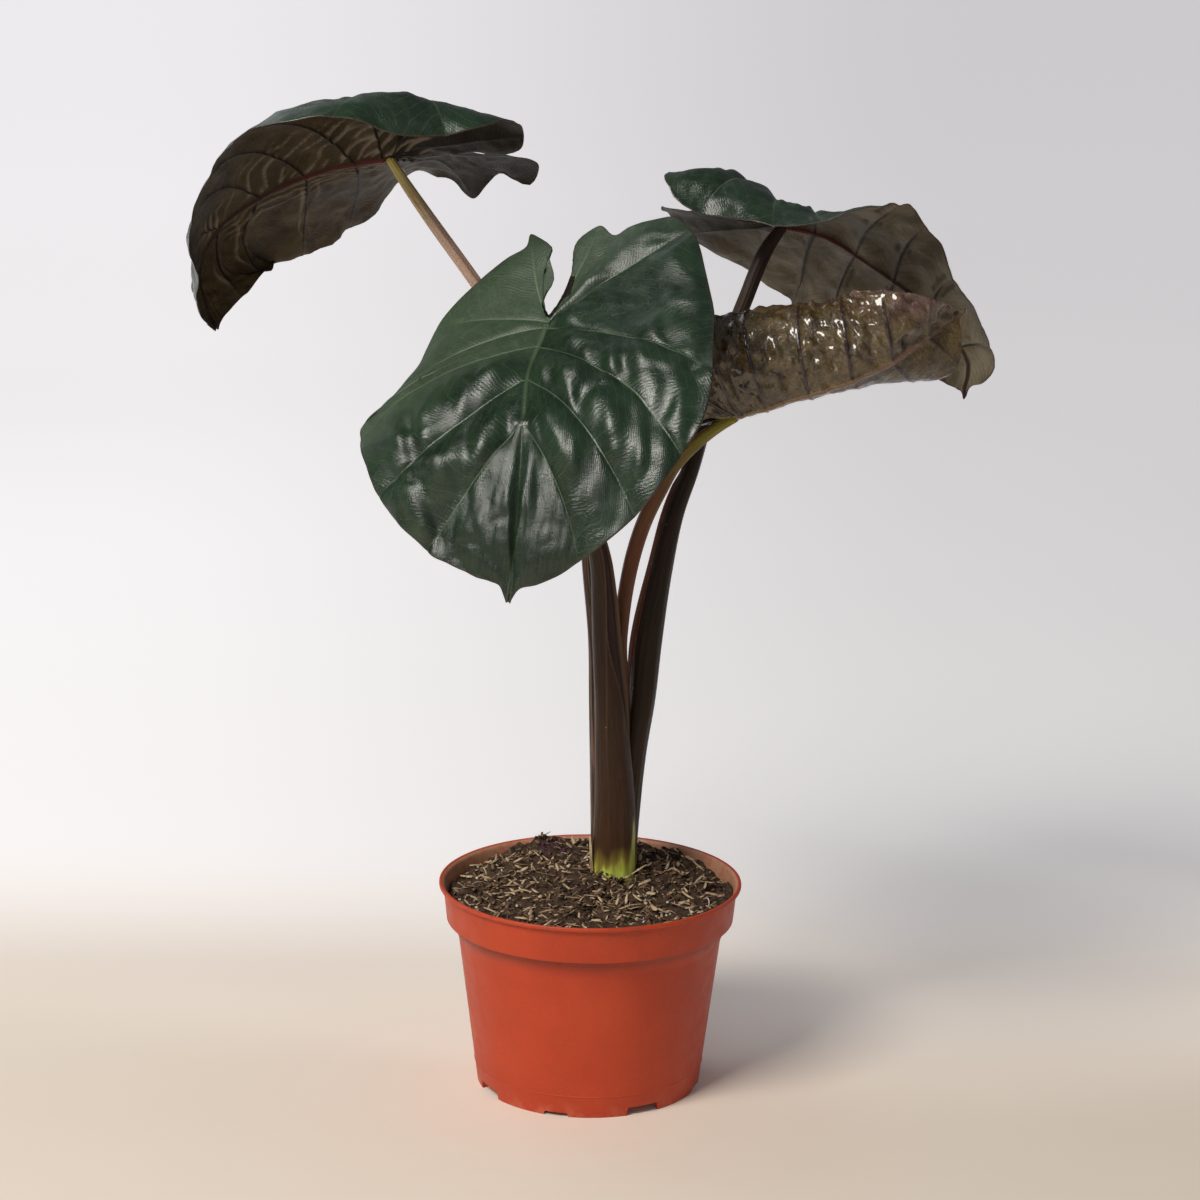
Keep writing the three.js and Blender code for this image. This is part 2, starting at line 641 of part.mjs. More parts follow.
function potOutline() {
  const { footWidth, floorUnderside, height, bandRadius, bandBottom, shoulderRadius, shoulder } = POT;
  const lip = POT.lipRadius;
  return [
    [0, floorUnderside],
    [POT.baseRadius - footWidth, floorUnderside],
    [POT.baseRadius - footWidth, 0],
    [POT.baseRadius, 0],
    [shoulderRadius, shoulder],
    [shoulderRadius + 0.7, shoulder + 2.2],
    [bandRadius - 3.8, bandBottom - 7.2],
    [bandRadius - 1, bandBottom - 3.5],
    [bandRadius, bandBottom],
    [POT.bandTopRadius, height - 3.4],
    [lip - 1.6, height - 2.8],
    [lip, height - 2.4],
    [lip, height - 0.9],
    [lip - 0.9, height],
    [lip - 1.9, height],
    [lip - 3.4, height - 1.5],
    ...potInside(),
  ];
}

function onRing(radius, degrees) {
  const angle = THREE.MathUtils.degToRad(degrees);
  return [radius * Math.cos(angle), radius * Math.sin(angle)];
}

function makePot() {
  let pot = lathedSolid(potOutline(), POT.segments);
  for (const notch of FOOT_NOTCHES) {
    for (let i = 0; i < 4; i += 1) {
      const angle = notch.firstAngle + i * 90;
      const cutter = new THREE.BoxGeometry(NOTCH_DEPTH, notch.width, 2 * notch.height);
      cutter.rotateZ(THREE.MathUtils.degToRad(angle));
      cutter.translate(...onRing(POT.baseRadius, angle), 0);
      pot = pot.subtract(solidFrom(cutter));
    }
  }
  const drain = (x, y, radius) => {
    const cutter = new THREE.CylinderGeometry(radius, radius, DRAIN_HOLES.depth, 12).rotateX(Math.PI / 2);
    pot = pot.subtract(solidFrom(cutter.translate(x, y, POT.floorUnderside)));
  };
  drain(0, 0, DRAIN_HOLES.middleRadius);
  for (let i = 0; i < DRAIN_HOLES.count; i += 1) {
    drain(...onRing(DRAIN_HOLES.ringRadius, DRAIN_HOLES.firstAngle + i * 90), DRAIN_HOLES.radius);
  }
  return pot;
}

// The soil, with the corm and the roots inside it

function moundAt({ x, y, spread, height }, px, py) {
  return height * Math.exp(-(((px - x) ** 2 + (py - y) ** 2) / spread ** 2));
}

function soilHeightAt(x, y) {
  const across = Math.sin(x * 0.31 + 1.3 * Math.sin(y * 0.17));
  const deep = Math.cos(y * 0.27 - 0.9 * Math.sin(x * 0.13));
  const mounds = moundAt(SOIL.stemMound, x, y) + moundAt(SOIL.backMound, x, y);
  return SOIL.edge + mounds + SOIL.lump * across * deep;
}

function makeSoilBed() {
  const wall = potInside().slice(0, -1);
  const wallRadius = (z) => lineAt(wall.map(([radius, height]) => [-height, radius]), -z) - SOIL.wallGap;
  const floor = POT.floorUnderside + POT.wall + CLEARANCE;
  const positions = [0, 0, soilHeightAt(0, 0)];
  const triangles = [];
  const ringAt = (radius, height) => {
    for (let k = 0; k < POT.segments; k += 1) {
      const turn = (k / POT.segments) * 2 * Math.PI;
      const [x, y] = [radius * Math.cos(turn), radius * Math.sin(turn)];
      positions.push(x, y, height ?? soilHeightAt(x, y));
    }
  };
  const topRadius = wallRadius(SOIL.edge - SOIL.lump);
  for (let i = 1; i <= SOIL.rings; i += 1) ringAt((topRadius * i) / SOIL.rings);
  for (const [, height] of wall.slice(1)) {
    const level = Math.max(height, floor);
    ringAt(wallRadius(level), level);
  }
  const rings = SOIL.rings + wall.length - 1;
  const spot = (ring, k) => 1 + (ring - 1) * POT.segments + (k % POT.segments);
  const bottom = positions.length / 3;
  positions.push(0, 0, floor);
  for (let k = 0; k < POT.segments; k += 1) {
    triangles.push(0, spot(1, k), spot(1, k + 1), bottom, spot(rings, k + 1), spot(rings, k));
    for (let ring = 1; ring < rings; ring += 1) {
      const [a, b] = [spot(ring, k), spot(ring, k + 1)];
      const [c, d] = [spot(ring + 1, k + 1), spot(ring + 1, k)];
      triangles.push(a, d, c, a, c, b);
    }
  }
  return solidFrom(geometryFrom(positions, triangles));
}

function makeChips() {
  const random = randomSource(CHIPS.seed);
  const chips = [];
  for (let i = 0; i < CHIPS.count; i += 1) {
    const radius = CHIPS.from + (CHIPS.to - CHIPS.from) * Math.sqrt(random());
    const turn = random() * 2 * Math.PI;
    const [x, y] = [radius * Math.cos(turn), radius * Math.sin(turn)];
    const length = CHIPS.length * (0.6 + 0.6 * random());
    const width = CHIPS.width * (0.6 + 0.7 * random());
    const chip = new THREE.BoxGeometry(length, width, CHIPS.thickness);
    chip.rotateY((random() - 0.5) * 0.5);
    chip.rotateZ(random() * Math.PI);
    chips.push(solidFrom(chip.translate(x, y, soilHeightAt(x, y) + 0.2)));
  }
  return chips;
}

function cormOutline(grow) {
  const { bottom, top, radius } = CORM;
  return [
    [0, bottom - grow],
    [radius * 0.5, bottom + 2 - grow],
    [radius * 0.86 + grow, bottom + 10],
    [radius + grow, bottom + 22],
    [radius + grow, top - 3],
    [radius - 0.6 + grow, top + grow],
    [0, top + grow],
  ];
}

function makeCormAndRoots(grow = 0) {
  const corm = lathedSolid(cormOutline(grow), 20);
  let solid = solidFrom(geometryOf(corm).translate(CORM.x, CORM.y, 0));
  for (let i = 0; i < ROOTS.count; i += 1) {
    const turn = ((i + 0.35) / ROOTS.count) * 2 * Math.PI;
    const reach = ROOTS.reach * (0.8 + 0.25 * Math.sin(i * 2.4));
    const start = CORM.bottom + 14;
    const rows = [[0, 0], [0.4, 0.14], [0.75, 0.45], [1.1, 1]].map(([out, down], k) => {
      const away = reach * out;
      const thin = ROOTS.startRadius + ((ROOTS.endRadius - ROOTS.startRadius) * k) / 3;
      const sway = 0.25 * k;
      const x = CORM.x * (1 - 0.2 * k) + away * Math.cos(turn + sway);
      const y = CORM.y * (1 - 0.2 * k) + away * Math.sin(turn + sway);
      return [x, y, start - ROOTS.drop * down, thin, thin];
    });
    solid = solid.add(tubeSolid(rows, { grow, sides: ROOTS.sides, steps: ROOTS.steps }));
  }
  return solid;
}

// The dry bract stands out a little further the higher it gets.
function makeBract(grow = 0) {
  const stations = distanceRows(STALKS.front);
  const positions = [];
  const triangles = [];
  const { bottom, top, fromAngle, toAngle, narrowing, flare, thickness, steps } = BRACT;
  for (let i = 0; i <= steps; i += 1) {
    const share = i / steps;
    const z = bottom + (top - bottom) * share + (i === 0 ? -grow : 0);
    const [x, y, , halfWidth, halfDepth] = curveAt(stations, z - STALKS.front[0][2]);
    for (const layer of [0, 1]) {
      for (let k = 0; k <= steps; k += 1) {
        const across = (k / steps - 0.5) * (1 - narrowing * share);
        const spread = toAngle - fromAngle + THREE.MathUtils.radToDeg((4 * grow) / halfWidth);
        const [dx, dy] = onRing(1, (fromAngle + toAngle) / 2 + spread * across);
        const out = 2 * CLEARANCE + flare * share * share + (layer ? thickness + grow : -grow);
        positions.push(x + dx * (halfWidth + out), y + dy * (halfDepth + out), z);
      }
    }
  }
  const spot = (i, layer, k) => (i * 2 + layer) * (steps + 1) + k;
  const quad = (a, b, c, d) => triangles.push(a, b, c, a, c, d);
  for (let i = 0; i < steps; i += 1) {
    for (let k = 0; k < steps; k += 1) {
      quad(spot(i, 1, k), spot(i, 1, k + 1), spot(i + 1, 1, k + 1), spot(i + 1, 1, k));
      quad(spot(i, 0, k + 1), spot(i, 0, k), spot(i + 1, 0, k), spot(i + 1, 0, k + 1));
    }
    quad(spot(i, 0, 0), spot(i, 1, 0), spot(i + 1, 1, 0), spot(i + 1, 0, 0));
    quad(spot(i, 1, steps), spot(i, 0, steps), spot(i + 1, 0, steps), spot(i + 1, 1, steps));
  }
  for (let k = 0; k < steps; k += 1) {
    quad(spot(0, 0, k), spot(0, 0, k + 1), spot(0, 1, k + 1), spot(0, 1, k));
    quad(spot(steps, 1, k), spot(steps, 1, k + 1), spot(steps, 0, k + 1), spot(steps, 0, k));
  }
  return solidFrom(geometryFrom(positions, triangles));
}

// Putting the plant together

const sheets = Object.fromEntries(Object.entries(LEAVES).map(([name, plan]) => {
  return [name, new Blade(plan).sheet()];
}));
const halfBlade = BLADE_THICKNESS / 2;

// A stalk ends just under its blade and just above the corm. The cut is made again a little
// further back, which keeps the stalk clear of the blade's edge at the notch.
function trimmedStalk(name) {
  const margin = halfBlade + 2 * CLEARANCE;
  const [behind, joint] = LEAVES[name].spine.slice(0, 2).map(([point]) => new THREE.Vector3(...point));
  const back = behind.sub(joint).setLength(2 * CLEARANCE);
  const aroundBlade = thickened(sheets[name], margin, margin);
  const aboveBlade = thickened(sheets[name], halfBlade + 3, 0);
  return tubeSolid(STALKS[name])
    .subtract(solidFrom(aroundBlade))
    .subtract(solidFrom(aroundBlade.clone().translate(...back.toArray())))
    .subtract(solidFrom(aboveBlade))
    .subtract(makeCormAndRoots(CLEARANCE));
}

const newStalk = largestPiece(trimmedStalk("new"));
const leftStalk = largestPiece(trimmedStalk("left"));
const aroundNewStalk = tubeSolid(STALKS.new, { grow: CLEARANCE });
const aroundLeftStalk = tubeSolid(STALKS.left, { grow: CLEARANCE });
const aroundRightStalk = tubeSolid(STALKS.right, { grow: CLEARANCE });
const aroundFrontStalk = tubeSolid(STALKS.front, { grow: CLEARANCE });
const rightStalk = largestPiece(
  trimmedStalk("right").subtract(aroundNewStalk).subtract(tubeSolid(SHEATH_OPENING, { steps: 10 })),
);
const frontStalk = largestPiece(
  trimmedStalk("front").subtract(aroundNewStalk).subtract(aroundLeftStalk).subtract(aroundRightStalk),
);

function makeSoil() {
  let soil = makeSoilBed();
  for (const chip of makeChips()) soil = soil.add(chip);
  soil = soil.subtract(makeCormAndRoots(CLEARANCE));
  for (const around of [aroundFrontStalk, aroundLeftStalk, aroundRightStalk, aroundNewStalk]) {
    soil = soil.subtract(around);
  }
  return largestPiece(soil.subtract(makeBract(CLEARANCE)));
}

const plant = new THREE.Group();

function addNode(name, geometry, finish) {
  const node = new THREE.Mesh(geometry, new THREE.MeshStandardMaterial(MATERIALS[finish]));
  node.name = name;
  plant.add(node);
}

addNode("pot", geometryOf(makePot()), "potPlastic");
addNode("soil", geometryOf(makeSoil()), "soil");
addNode("corm_and_roots", geometryOf(makeCormAndRoots()), "corm");
addNode("dry_bract", geometryOf(makeBract()), "bract");
addNode("stalk_front", geometryOf(frontStalk), "stalk");
addNode("stalk_left", geometryOf(leftStalk), "stalk");
addNode("stalk_right", geometryOf(rightStalk), "stalk");
addNode("stalk_new", geometryOf(newStalk), "newStalk");
for (const [name, sheet] of Object.entries(sheets)) {
  addNode(`blade_${name}`, thickened(sheet, halfBlade, halfBlade), name === "new" ? "newBlade" : "blade");
}

export default plant;
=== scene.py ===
import math

import bpy
import numpy as np
from mathutils import Matrix, Vector


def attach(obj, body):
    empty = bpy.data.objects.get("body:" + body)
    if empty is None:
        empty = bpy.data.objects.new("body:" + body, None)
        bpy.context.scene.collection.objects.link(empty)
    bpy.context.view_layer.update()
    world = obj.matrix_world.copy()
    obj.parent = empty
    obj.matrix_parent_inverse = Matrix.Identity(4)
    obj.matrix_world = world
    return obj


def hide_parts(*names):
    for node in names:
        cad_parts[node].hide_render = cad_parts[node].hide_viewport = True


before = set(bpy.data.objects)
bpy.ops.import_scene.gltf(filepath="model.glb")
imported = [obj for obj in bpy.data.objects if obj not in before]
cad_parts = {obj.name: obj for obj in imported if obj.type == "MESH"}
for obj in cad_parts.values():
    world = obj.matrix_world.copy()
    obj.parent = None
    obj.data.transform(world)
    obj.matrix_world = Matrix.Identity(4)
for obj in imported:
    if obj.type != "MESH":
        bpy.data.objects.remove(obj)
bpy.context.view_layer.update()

MM = 0.001
BODY = "root"

# Leaf blades: the same plans as the solids, in millimetres
# A blade is laid out flat and then bent. Flat, forward runs along the midrib from the stalk to
# the tip, and out runs away from the midrib. Side veins are numbered from 0 at the notch behind
# the stalk to 9 at the tip, and a row is a share of the way from the midrib to the margin.

VEIN_ROOTS = [
    (0, -0.032), (1, -0.016), (2, -0.005), (3, 0.021), (4, 0.117),
    (5, 0.287), (6, 0.457), (7, 0.628), (8, 0.798), (9, 1),
]
VEIN_BOWS = [
    (0, 0), (0.25, 1), (0.5, 5), (0.75, 5), (1, 3), (2, -2),
    (3, -6), (4, -6), (5, -5), (6, -4), (7, -3), (8, -1), (9, 0),
]
LEAVES = {
    "front": {
        "length": 190, "half_width": 110, "bow": 1, "quilt": 3.8,
        "spine": [
            ((-14, -2, 539), (-0.25, -0.6, 0.76)),
            ((-29, -49, 488), (-0.32, -0.55, 0.8)),
            ((-40, -99, 459), (-0.32, -0.6, 0.76)),
            ((-41, -117, 442), (-0.32, -0.75, 0.6)),
            ((-44, -145, 381), (-0.3, -0.93, 0.36)),
            ((-48, -151, 342), (-0.3, -1, 0.1)),
        ],
        "sections": [
            (-60, (0, -6, -14, -25), (8, 4, 0, -5)),
            (0, (4, -4, -16, -32), (6, 2, -2, -8)),
            (50, (5, -1, -11, -25), (4, -1, -7, -12)),
            (100, (4, -3, -9, -16), (4, -3, -9, -14)),
            (150, (0, -5, -11, -16), (0, -5, -11, -16)),
        ],
        "right": [
            (0, -6, 0), (0.25, -16, 7), (0.5, -34, 4), (0.75, -51, 10.5), (0.83, -55, 9.5), (1, -67, 26),
            (1.2, -58, 28), (1.5, -48, 42), (2, -8, 78), (2.5, 20, 79), (3, 40, 84), (3.5, 52, 91),
            (3.7, 57, 98), (3.8, 60, 106), (4, 70, 106), (4.5, 100, 99), (5, 130, 88), (5.5, 150, 72),
            (6, 168, 53), (6.5, 174, 38), (7, 178, 24), (8, 180, 11), (8.4, 182, 6), (8.7, 187, 3),
            (9, 191, 1),
        ],
        "left": [
            (0, -6, 0), (0.25, -15, 6), (0.45, -27, 6.5), (0.6, -37, 10), (0.75, -52, 4.5),
            (0.85, -61, 5), (1, -71, 17), (1.15, -64, 27), (1.4, -69, 38), (1.7, -76, 60),
            (2, -65, 77), (2.3, -48, 88), (2.7, 5, 105), (3, 60, 110), (3.4, 86, 107), (4, 109, 93),
            (4.5, 125, 81), (5, 139, 68), (5.5, 152, 53), (6, 163, 38), (6.5, 171, 28), (7, 177, 18),
            (8, 182, 6), (8.5, 186, 3), (9, 191, 1),
        ],
    },
    "left": {
        "length": 178, "half_width": 108, "bow": 1, "quilt": 1.4,
        "spine": [
            ((-32, 14, 580), (0, 0.15, 0.98)),
            ((-126, 10, 579), (-0.05, 0.25, 0.95)),
            ((-172, 5, 569), (-0.25, 0.35, 0.88)),
            ((-206, 2, 553), (-0.5, 0.38, 0.72)),
            ((-230, 0, 534), (-0.78, 0.42, 0.4)),
            ((-240, 0, 508), (-0.85, 0.42, 0.1)),
            ((-235, 0, 486), (-0.85, 0.45, -0.1)),
            ((-222, 0, 466), (-0.85, 0.45, -0.2)),
        ],
        "sections": [
            (-85, (12, -24, -42, -50), (-25, 35, -60, -150)),
            (-55, (12, -19, -34, -40), (-12, 38, -50, -140)),
            (-35, (14, -6, -16, -20), (-5, 40, -45, -130)),
            (-12, (0, 2, 2, -4), (24, 34, -35, -120)),
            (12, (-3, -5, -12, -25), (28, 28, -20, -105)),
            (40, (-8, -8, -10, -16), (28, 20, -18, -75)),
            (75, (-8, -12, -15, -22), (24, 8, -15, -50)),
            (105, (-4, -12, -15, -18), (0, -12, -20, -30)),
            (140, (-15, -25, -28, -30), (-26, -36, -42, -50)),
            (178, (-15, -30, -34, -34), (-30, -40, -50, -60)),
        ],
        "right": [
            (0, -6, 0), (0.3, -30, 3), (0.6, -60, 8), (0.9, -84, 14), (1.1, -91, 30), (1.3, -86, 52),
            (1.5, -70, 46), (1.75, -60, 56), (2, -50, 76), (2.2, -38, 74), (2.5, -26, 80), (3, -8, 92),
            (4, 34, 94), (4.5, 58, 88), (5, 82, 79), (5.5, 112, 62), (6, 146, 50), (6.5, 162, 38),
            (7, 169, 27), (7.5, 173, 18), (8, 175, 11), (8.6, 177, 6), (8.8, 178, 4), (9, 180, 1),
        ],
        "left": [
            (0, -6, 0), (0.3, -30, 3), (0.6, -56, 9), (0.85, -78, 22), (1.1, -80, 46), (1.5, -66, 68),
            (2, -36, 88), (2.5, -6, 100), (3, 28, 96), (3.5, 54, 88), (4, 76, 80), (5, 96, 71),
            (6, 114, 64), (7, 136, 56), (8, 160, 30), (8.6, 173, 10), (8.8, 175, 5), (9, 180, 1),
        ],
    },
    "right": {
        "length": 172, "half_width": 104, "bow": 1, "quilt": 2.4,
        "spine": [
            ((36, 77, 549), (0, 0.2, 0.97)),
            ((116, 73, 536), (0.05, 0.3, 0.95)),
            ((141, 71, 530), (0.2, 0.35, 0.9)),
            ((173, 68, 511), (0.35, 0.4, 0.8)),
            ((201, 65, 491), (0.45, 0.4, 0.75)),
            ((224, 62, 468), (0.7, 0.4, 0.5)),
            ((233, 59, 452), (0.8, 0.42, 0.3)),
            ((232, 56, 438), (0.85, 0.45, 0.1)),
        ],
        "sections": [
            (-75, (72, -8, -66, -100), (4, -5, -10, -15)),
            (-45, (84, 0, -72, -100), (-2, -10, -15, -20)),
            (-15, (38, -6, -46, -70), (-8, -12, -16, -25)),
            (20, (12, -8, -25, -32), (-8, -12, -16, -20)),
            (50, (4, 2, 4, 4), (-8, -14, -18, -25)),
            (80, (12, 14, 14, 12), (-8, -12, -16, -22)),
            (115, (8, 4, 0, -10), (-12, -18, -22, -25)),
            (145, (0, -5, -12, -25), (-10, -16, -20, -22)),
            (172, (0, -5, -12, -25), (-8, -10, -12, -14)),
        ],
        "right": [
            (0, -6, 0), (0.3, -26, 3), (0.6, -52, 10), (0.8, -66, 20), (1, -76, 38), (1.5, -72, 64),
            (2, -54, 80), (2.5, -30, 82), (3, -8, 83), (4, 24, 93), (5, 50, 91), (6, 71, 67),
            (7, 102, 42), (8, 145, 34), (8.6, 162, 14), (8.8, 164, 5), (9, 171, 1),
        ],
        "left": [
            (0, -6, 0), (0.3, -26, 3), (0.6, -50, 8), (1, -74, 20), (1.5, -76, 42), (2, -62, 66),
            (2.5, -34, 79), (3, -8, 90), (4, 32, 100), (5, 72, 92), (6, 106, 74), (7, 138, 49),
            (7.5, 151, 38), (8, 160, 27), (8.6, 165, 11), (8.8, 167, 4), (9, 171, 1),
        ],
    },
    "new": {
        "length": 158, "half_width": 80, "bow": 0.6, "quilt": 1.2,
        "spine": [
            ((48, -18, 424), (0, 0.45, 0.9)),
            ((84, -20, 430), (0, 0.45, 0.9)),
            ((115, -22, 440), (-0.1, 0.45, 0.88)),
            ((151, -24, 452), (-0.15, 0.45, 0.88)),
            ((173, -22, 462), (-0.2, 0.45, 0.85)),
            ((192, -16, 474), (-0.3, 0.4, 0.85)),
            ((206, -8, 484), (-0.4, 0.35, 0.85)),
            ((222, 0, 494), (-0.4, 0.3, 0.85)),
        ],
        "sections": [
            (-50, (20, 50, 95, 170), (0, 50, 100, 175)),
            (0, (20, 52, 94, 165), (-5, 45, 100, 180)),
            (50, (28, 68, 118, 190), (-8, 40, 100, 175)),
            (90, (30, 78, 135, 205), (-28, 25, 105, 170)),
            (125, (28, 74, 130, 190), (-66, -25, 50, 130)),
            (158, (20, 50, 80, 110), (-85, -70, -30, 20)),
        ],
        "right": [
            (0, -6, 0), (0.3, -24, 4), (0.6, -42, 10), (1, -58, 22), (1.5, -60, 42), (2, -50, 60),
            (2.5, -32, 72), (3, -10, 79), (4, 28, 84), (5, 60, 80), (6, 92, 65), (7, 116, 44),
            (8, 136, 23), (8.6, 147, 9), (8.8, 150, 4), (9, 158, 1),
        ],
        "left": [
            (0, -6, 0), (0.3, -24, 4), (0.6, -42, 9), (1, -56, 20), (1.5, -58, 38), (2, -50, 54),
            (2.5, -32, 66), (3, -10, 72), (4, 28, 76), (5, 60, 74), (6, 92, 64), (7, 118, 49),
            (8, 138, 28), (8.6, 147, 11), (8.8, 150, 4), (9, 158, 1),
        ],
    },
}
STEPS_PER_VEIN = 22
ROWS = 70
SPINE_SAMPLES = 600
BEND_STEPS = 20

# Leaf stalks: [x, y, z, half width, half depth] along each stalk, in millimetres

STALKS = {
    "front": [
        (14.6, 15, 106, 13.8, 11.2), (14.6, 15, 138, 13.8, 11), (14.7, 14, 178, 12.6, 9.5),
        (12.7, 12, 212, 11, 8.5), (11.3, 8, 245, 10, 7.8), (8.3, 3, 285, 8.8, 7),
        (6.5, -1, 311, 7.8, 6.3), (4.4, -5, 334, 6.6, 5.8), (-9, -16, 383, 5, 5),
        (-21, -33, 429, 4.2, 4.2), (-27, -44, 470, 3.3, 3.3), (-29, -49, 488, 3, 3),
    ],
    "left": [
        (6.5, 25.5, 106, 5.9, 5.9), (6, 26, 138, 5.9, 5.9), (4.5, 25, 200, 5.8, 5.8),
        (3.5, 24, 241, 5.6, 5.6), (2.4, 23, 280, 5.4, 5.4), (-2.5, 21, 329, 5, 5),
        (-6, 21, 376, 4.8, 4.8), (-22, 21, 420, 4.4, 4.4), (-45, 21, 462, 4.2, 4.2),
        (-73, 21, 502, 3.9, 3.9), (-112, 16, 557, 3.3, 3.3), (-126, 10, 579, 2.6, 2.6),
    ],
    "right": [
        (21.4, 25, 106, 8, 8), (21.3, 25, 136, 8, 8), (23.3, 26, 175, 8.2, 8.2),
        (26.3, 28, 208, 8.4, 8.4), (31, 31, 240, 8.6, 8.4), (34.2, 36, 277, 9.3, 8),
        (42.7, 41, 325, 7.2, 7), (50.4, 45, 359, 6.3, 6.2), (59.4, 49, 384, 5.6, 5.6),
        (66.5, 54, 409, 5.1, 5.1), (92.5, 69, 489, 4.6, 4.6), (107, 74, 523, 4.2, 4.2),
        (116, 73, 536, 3, 3),
    ],
    "new": [
        (20, 20, 106, 5, 5), (20, 20, 137, 5, 5), (19, 20, 200, 5, 5), (18.6, 20, 242, 4.8, 4.8),
        (16.8, 17, 282, 4.5, 4.5), (17.8, 16, 295, 4.5, 4.5), (20, 13, 315, 4.6, 4.6),
        (25.2, 10, 341, 4.7, 4.7), (31, 6, 360, 4.7, 4.7), (39.8, 0, 380, 4.5, 4.5),
        (48.5, -6, 397, 4.3, 4.3), (61.4, -12, 412, 4.1, 4.1), (76, -18, 424, 3.4, 3.4),
        (84, -20, 428.5, 2.6, 2.6),
    ],
}


# Curves and noise

def slopes(keys, values):
    steps = np.diff(keys)[:, None]
    rises = np.diff(values, axis=0) / steps
    result = np.empty_like(values)
    result[0], result[-1] = rises[0], rises[-1]
    result[1:-1] = (rises[:-1] * steps[1:] + rises[1:] * steps[:-1]) / (steps[1:] + steps[:-1])
    return result


def curve_at(keys, values, at):
    """A smooth curve through the values, straight beyond its ends."""
    keys, values, at = (np.asarray(numbers, float) for numbers in (keys, values, at))
    tilt = slopes(keys, values)
    held = np.clip(at, keys[0], keys[-1])
    i = np.clip(np.searchsorted(keys, held, side="right") - 1, 0, len(keys) - 2)
    span = (keys[i + 1] - keys[i])[..., None]
    t = (held - keys[i])[..., None] / span
    start = (2 * t - 3) * t * t + 1
    leave = t * (t - 1) ** 2 * span
    arrive = t * t * (t - 1) * span
    inside = start * values[i] + (1 - start) * values[i + 1] + leave * tilt[i] + arrive * tilt[i + 1]
    beyond = (at - held)[..., None]
    return inside + beyond * np.where(beyond < 0, tilt[0], tilt[-1])


def rows_at(rows, at):
    rows = np.asarray(rows, float)
    return curve_at(rows[:, 0], rows[:, 1:], at)


def line_at(rows, at):
    rows = np.asarray(rows, float)
    return np.interp(at, rows[:, 0], rows[:, 1])


def unit(vectors):
    return vectors / np.maximum(np.linalg.norm(vectors, axis=-1, keepdims=True), 1e-12)


def distances(points):
    return np.concatenate([[0], np.cumsum(np.linalg.norm(np.diff(points, axis=0), axis=1))])


def smooth_step(low, high, value):
    t = np.clip((value - low) / (high - low), 0, 1)
    return t * t * (3 - 2 * t)


def bell(value, middle, width):
    return np.exp(-(((value - middle) / width) ** 2))


def turn_between(angle, start):
    """Degrees from start to angle, the short way round."""
    return (angle - start + 180) % 360 - 180


def noise(seed, x, y, z=None):
    """Smooth noise between about -1 and 1, one bump per unit."""
    size = 64
    flat = z is None
    table = np.random.default_rng(seed).uniform(-1, 1, (size, size, 1 if flat else size))
    corner = [np.floor(v).astype(int) for v in (x, y, 0 * x if flat else z)]
    part = [v - c for v, c in zip((x, y, 0 * x if flat else z), corner)]
    part = [p * p * p * (p * (6 * p - 15) + 10) for p in part]
    total = np.zeros_like(x, float)
    for steps in np.ndindex(2, 2, 1 if flat else 2):
        weight = 1
        for share, step in zip(part, steps):
            weight = weight * (share if step else 1 - share)
        spot = [(c + step) % n for c, step, n in zip(corner, steps, table.shape)]
        total += weight * table[spot[0], spot[1], spot[2]]
    return total


# Building meshes

def new_object(name, points, faces, materials, face_materials=None):
    """A smooth-shaded mesh. points are in millimetres."""
    mesh = bpy.data.meshes.new(name)
    mesh.from_pydata((np.asarray(points) * MM).tolist(), [], [list(map(int, face)) for face in faces])
    for material in materials:
        mesh.materials.append(material)
    if face_materials is not None:
        mesh.polygons.foreach_set("material_index", np.asarray(face_materials, np.int32))
    mesh.polygons.foreach_set("use_smooth", np.full(len(mesh.polygons), True))
    mesh.update()
    piece = bpy.data.objects.new(name, mesh)
    bpy.context.scene.collection.objects.link(piece)
    return piece


def tube_faces(rings, sides, corners=(0, 1, 3, 2), first=0):
    """Quads between rings of points. corners orders each quad: 0 is a point, 1 the next one round,
    and 2 and 3 are the same two on the next ring."""
    faces = []
    for ring in range(rings - 1):
        for k in range(sides):
            here = first + ring * sides + k
            following = first + ring * sides + (k + 1) % sides
            quad = (here, following, here + sides, following + sides)
            faces.append([quad[corner] for corner in corners])
    return faces


def end_faces(rings, sides):
    """The flat ends of a tube."""
    last = (rings - 1) * sides
    return [list(range(sides))[::-1], list(range(last, last + sides))]


def add_attribute(piece, name, values):
    values = np.asarray(values, np.float32)
    kind = "FLOAT" if values.ndim == 1 else "FLOAT_VECTOR"
    attribute = piece.data.attributes.new(name, kind, "POINT")
    attribute.data.foreach_set("value" if kind == "FLOAT" else "vector", values.ravel())


def hand_over(piece, slot, *nodes):
    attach(piece, BODY)
    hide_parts(*nodes)


# Materials

def rgb(red, green, blue):
    """A display colour as the linear one that materials take."""
    shares = [value / 255 for value in (red, green, blue)]
    return tuple(s / 12.92 if s <= 0.04045 else ((s + 0.055) / 1.055) ** 2.4 for s in shares)


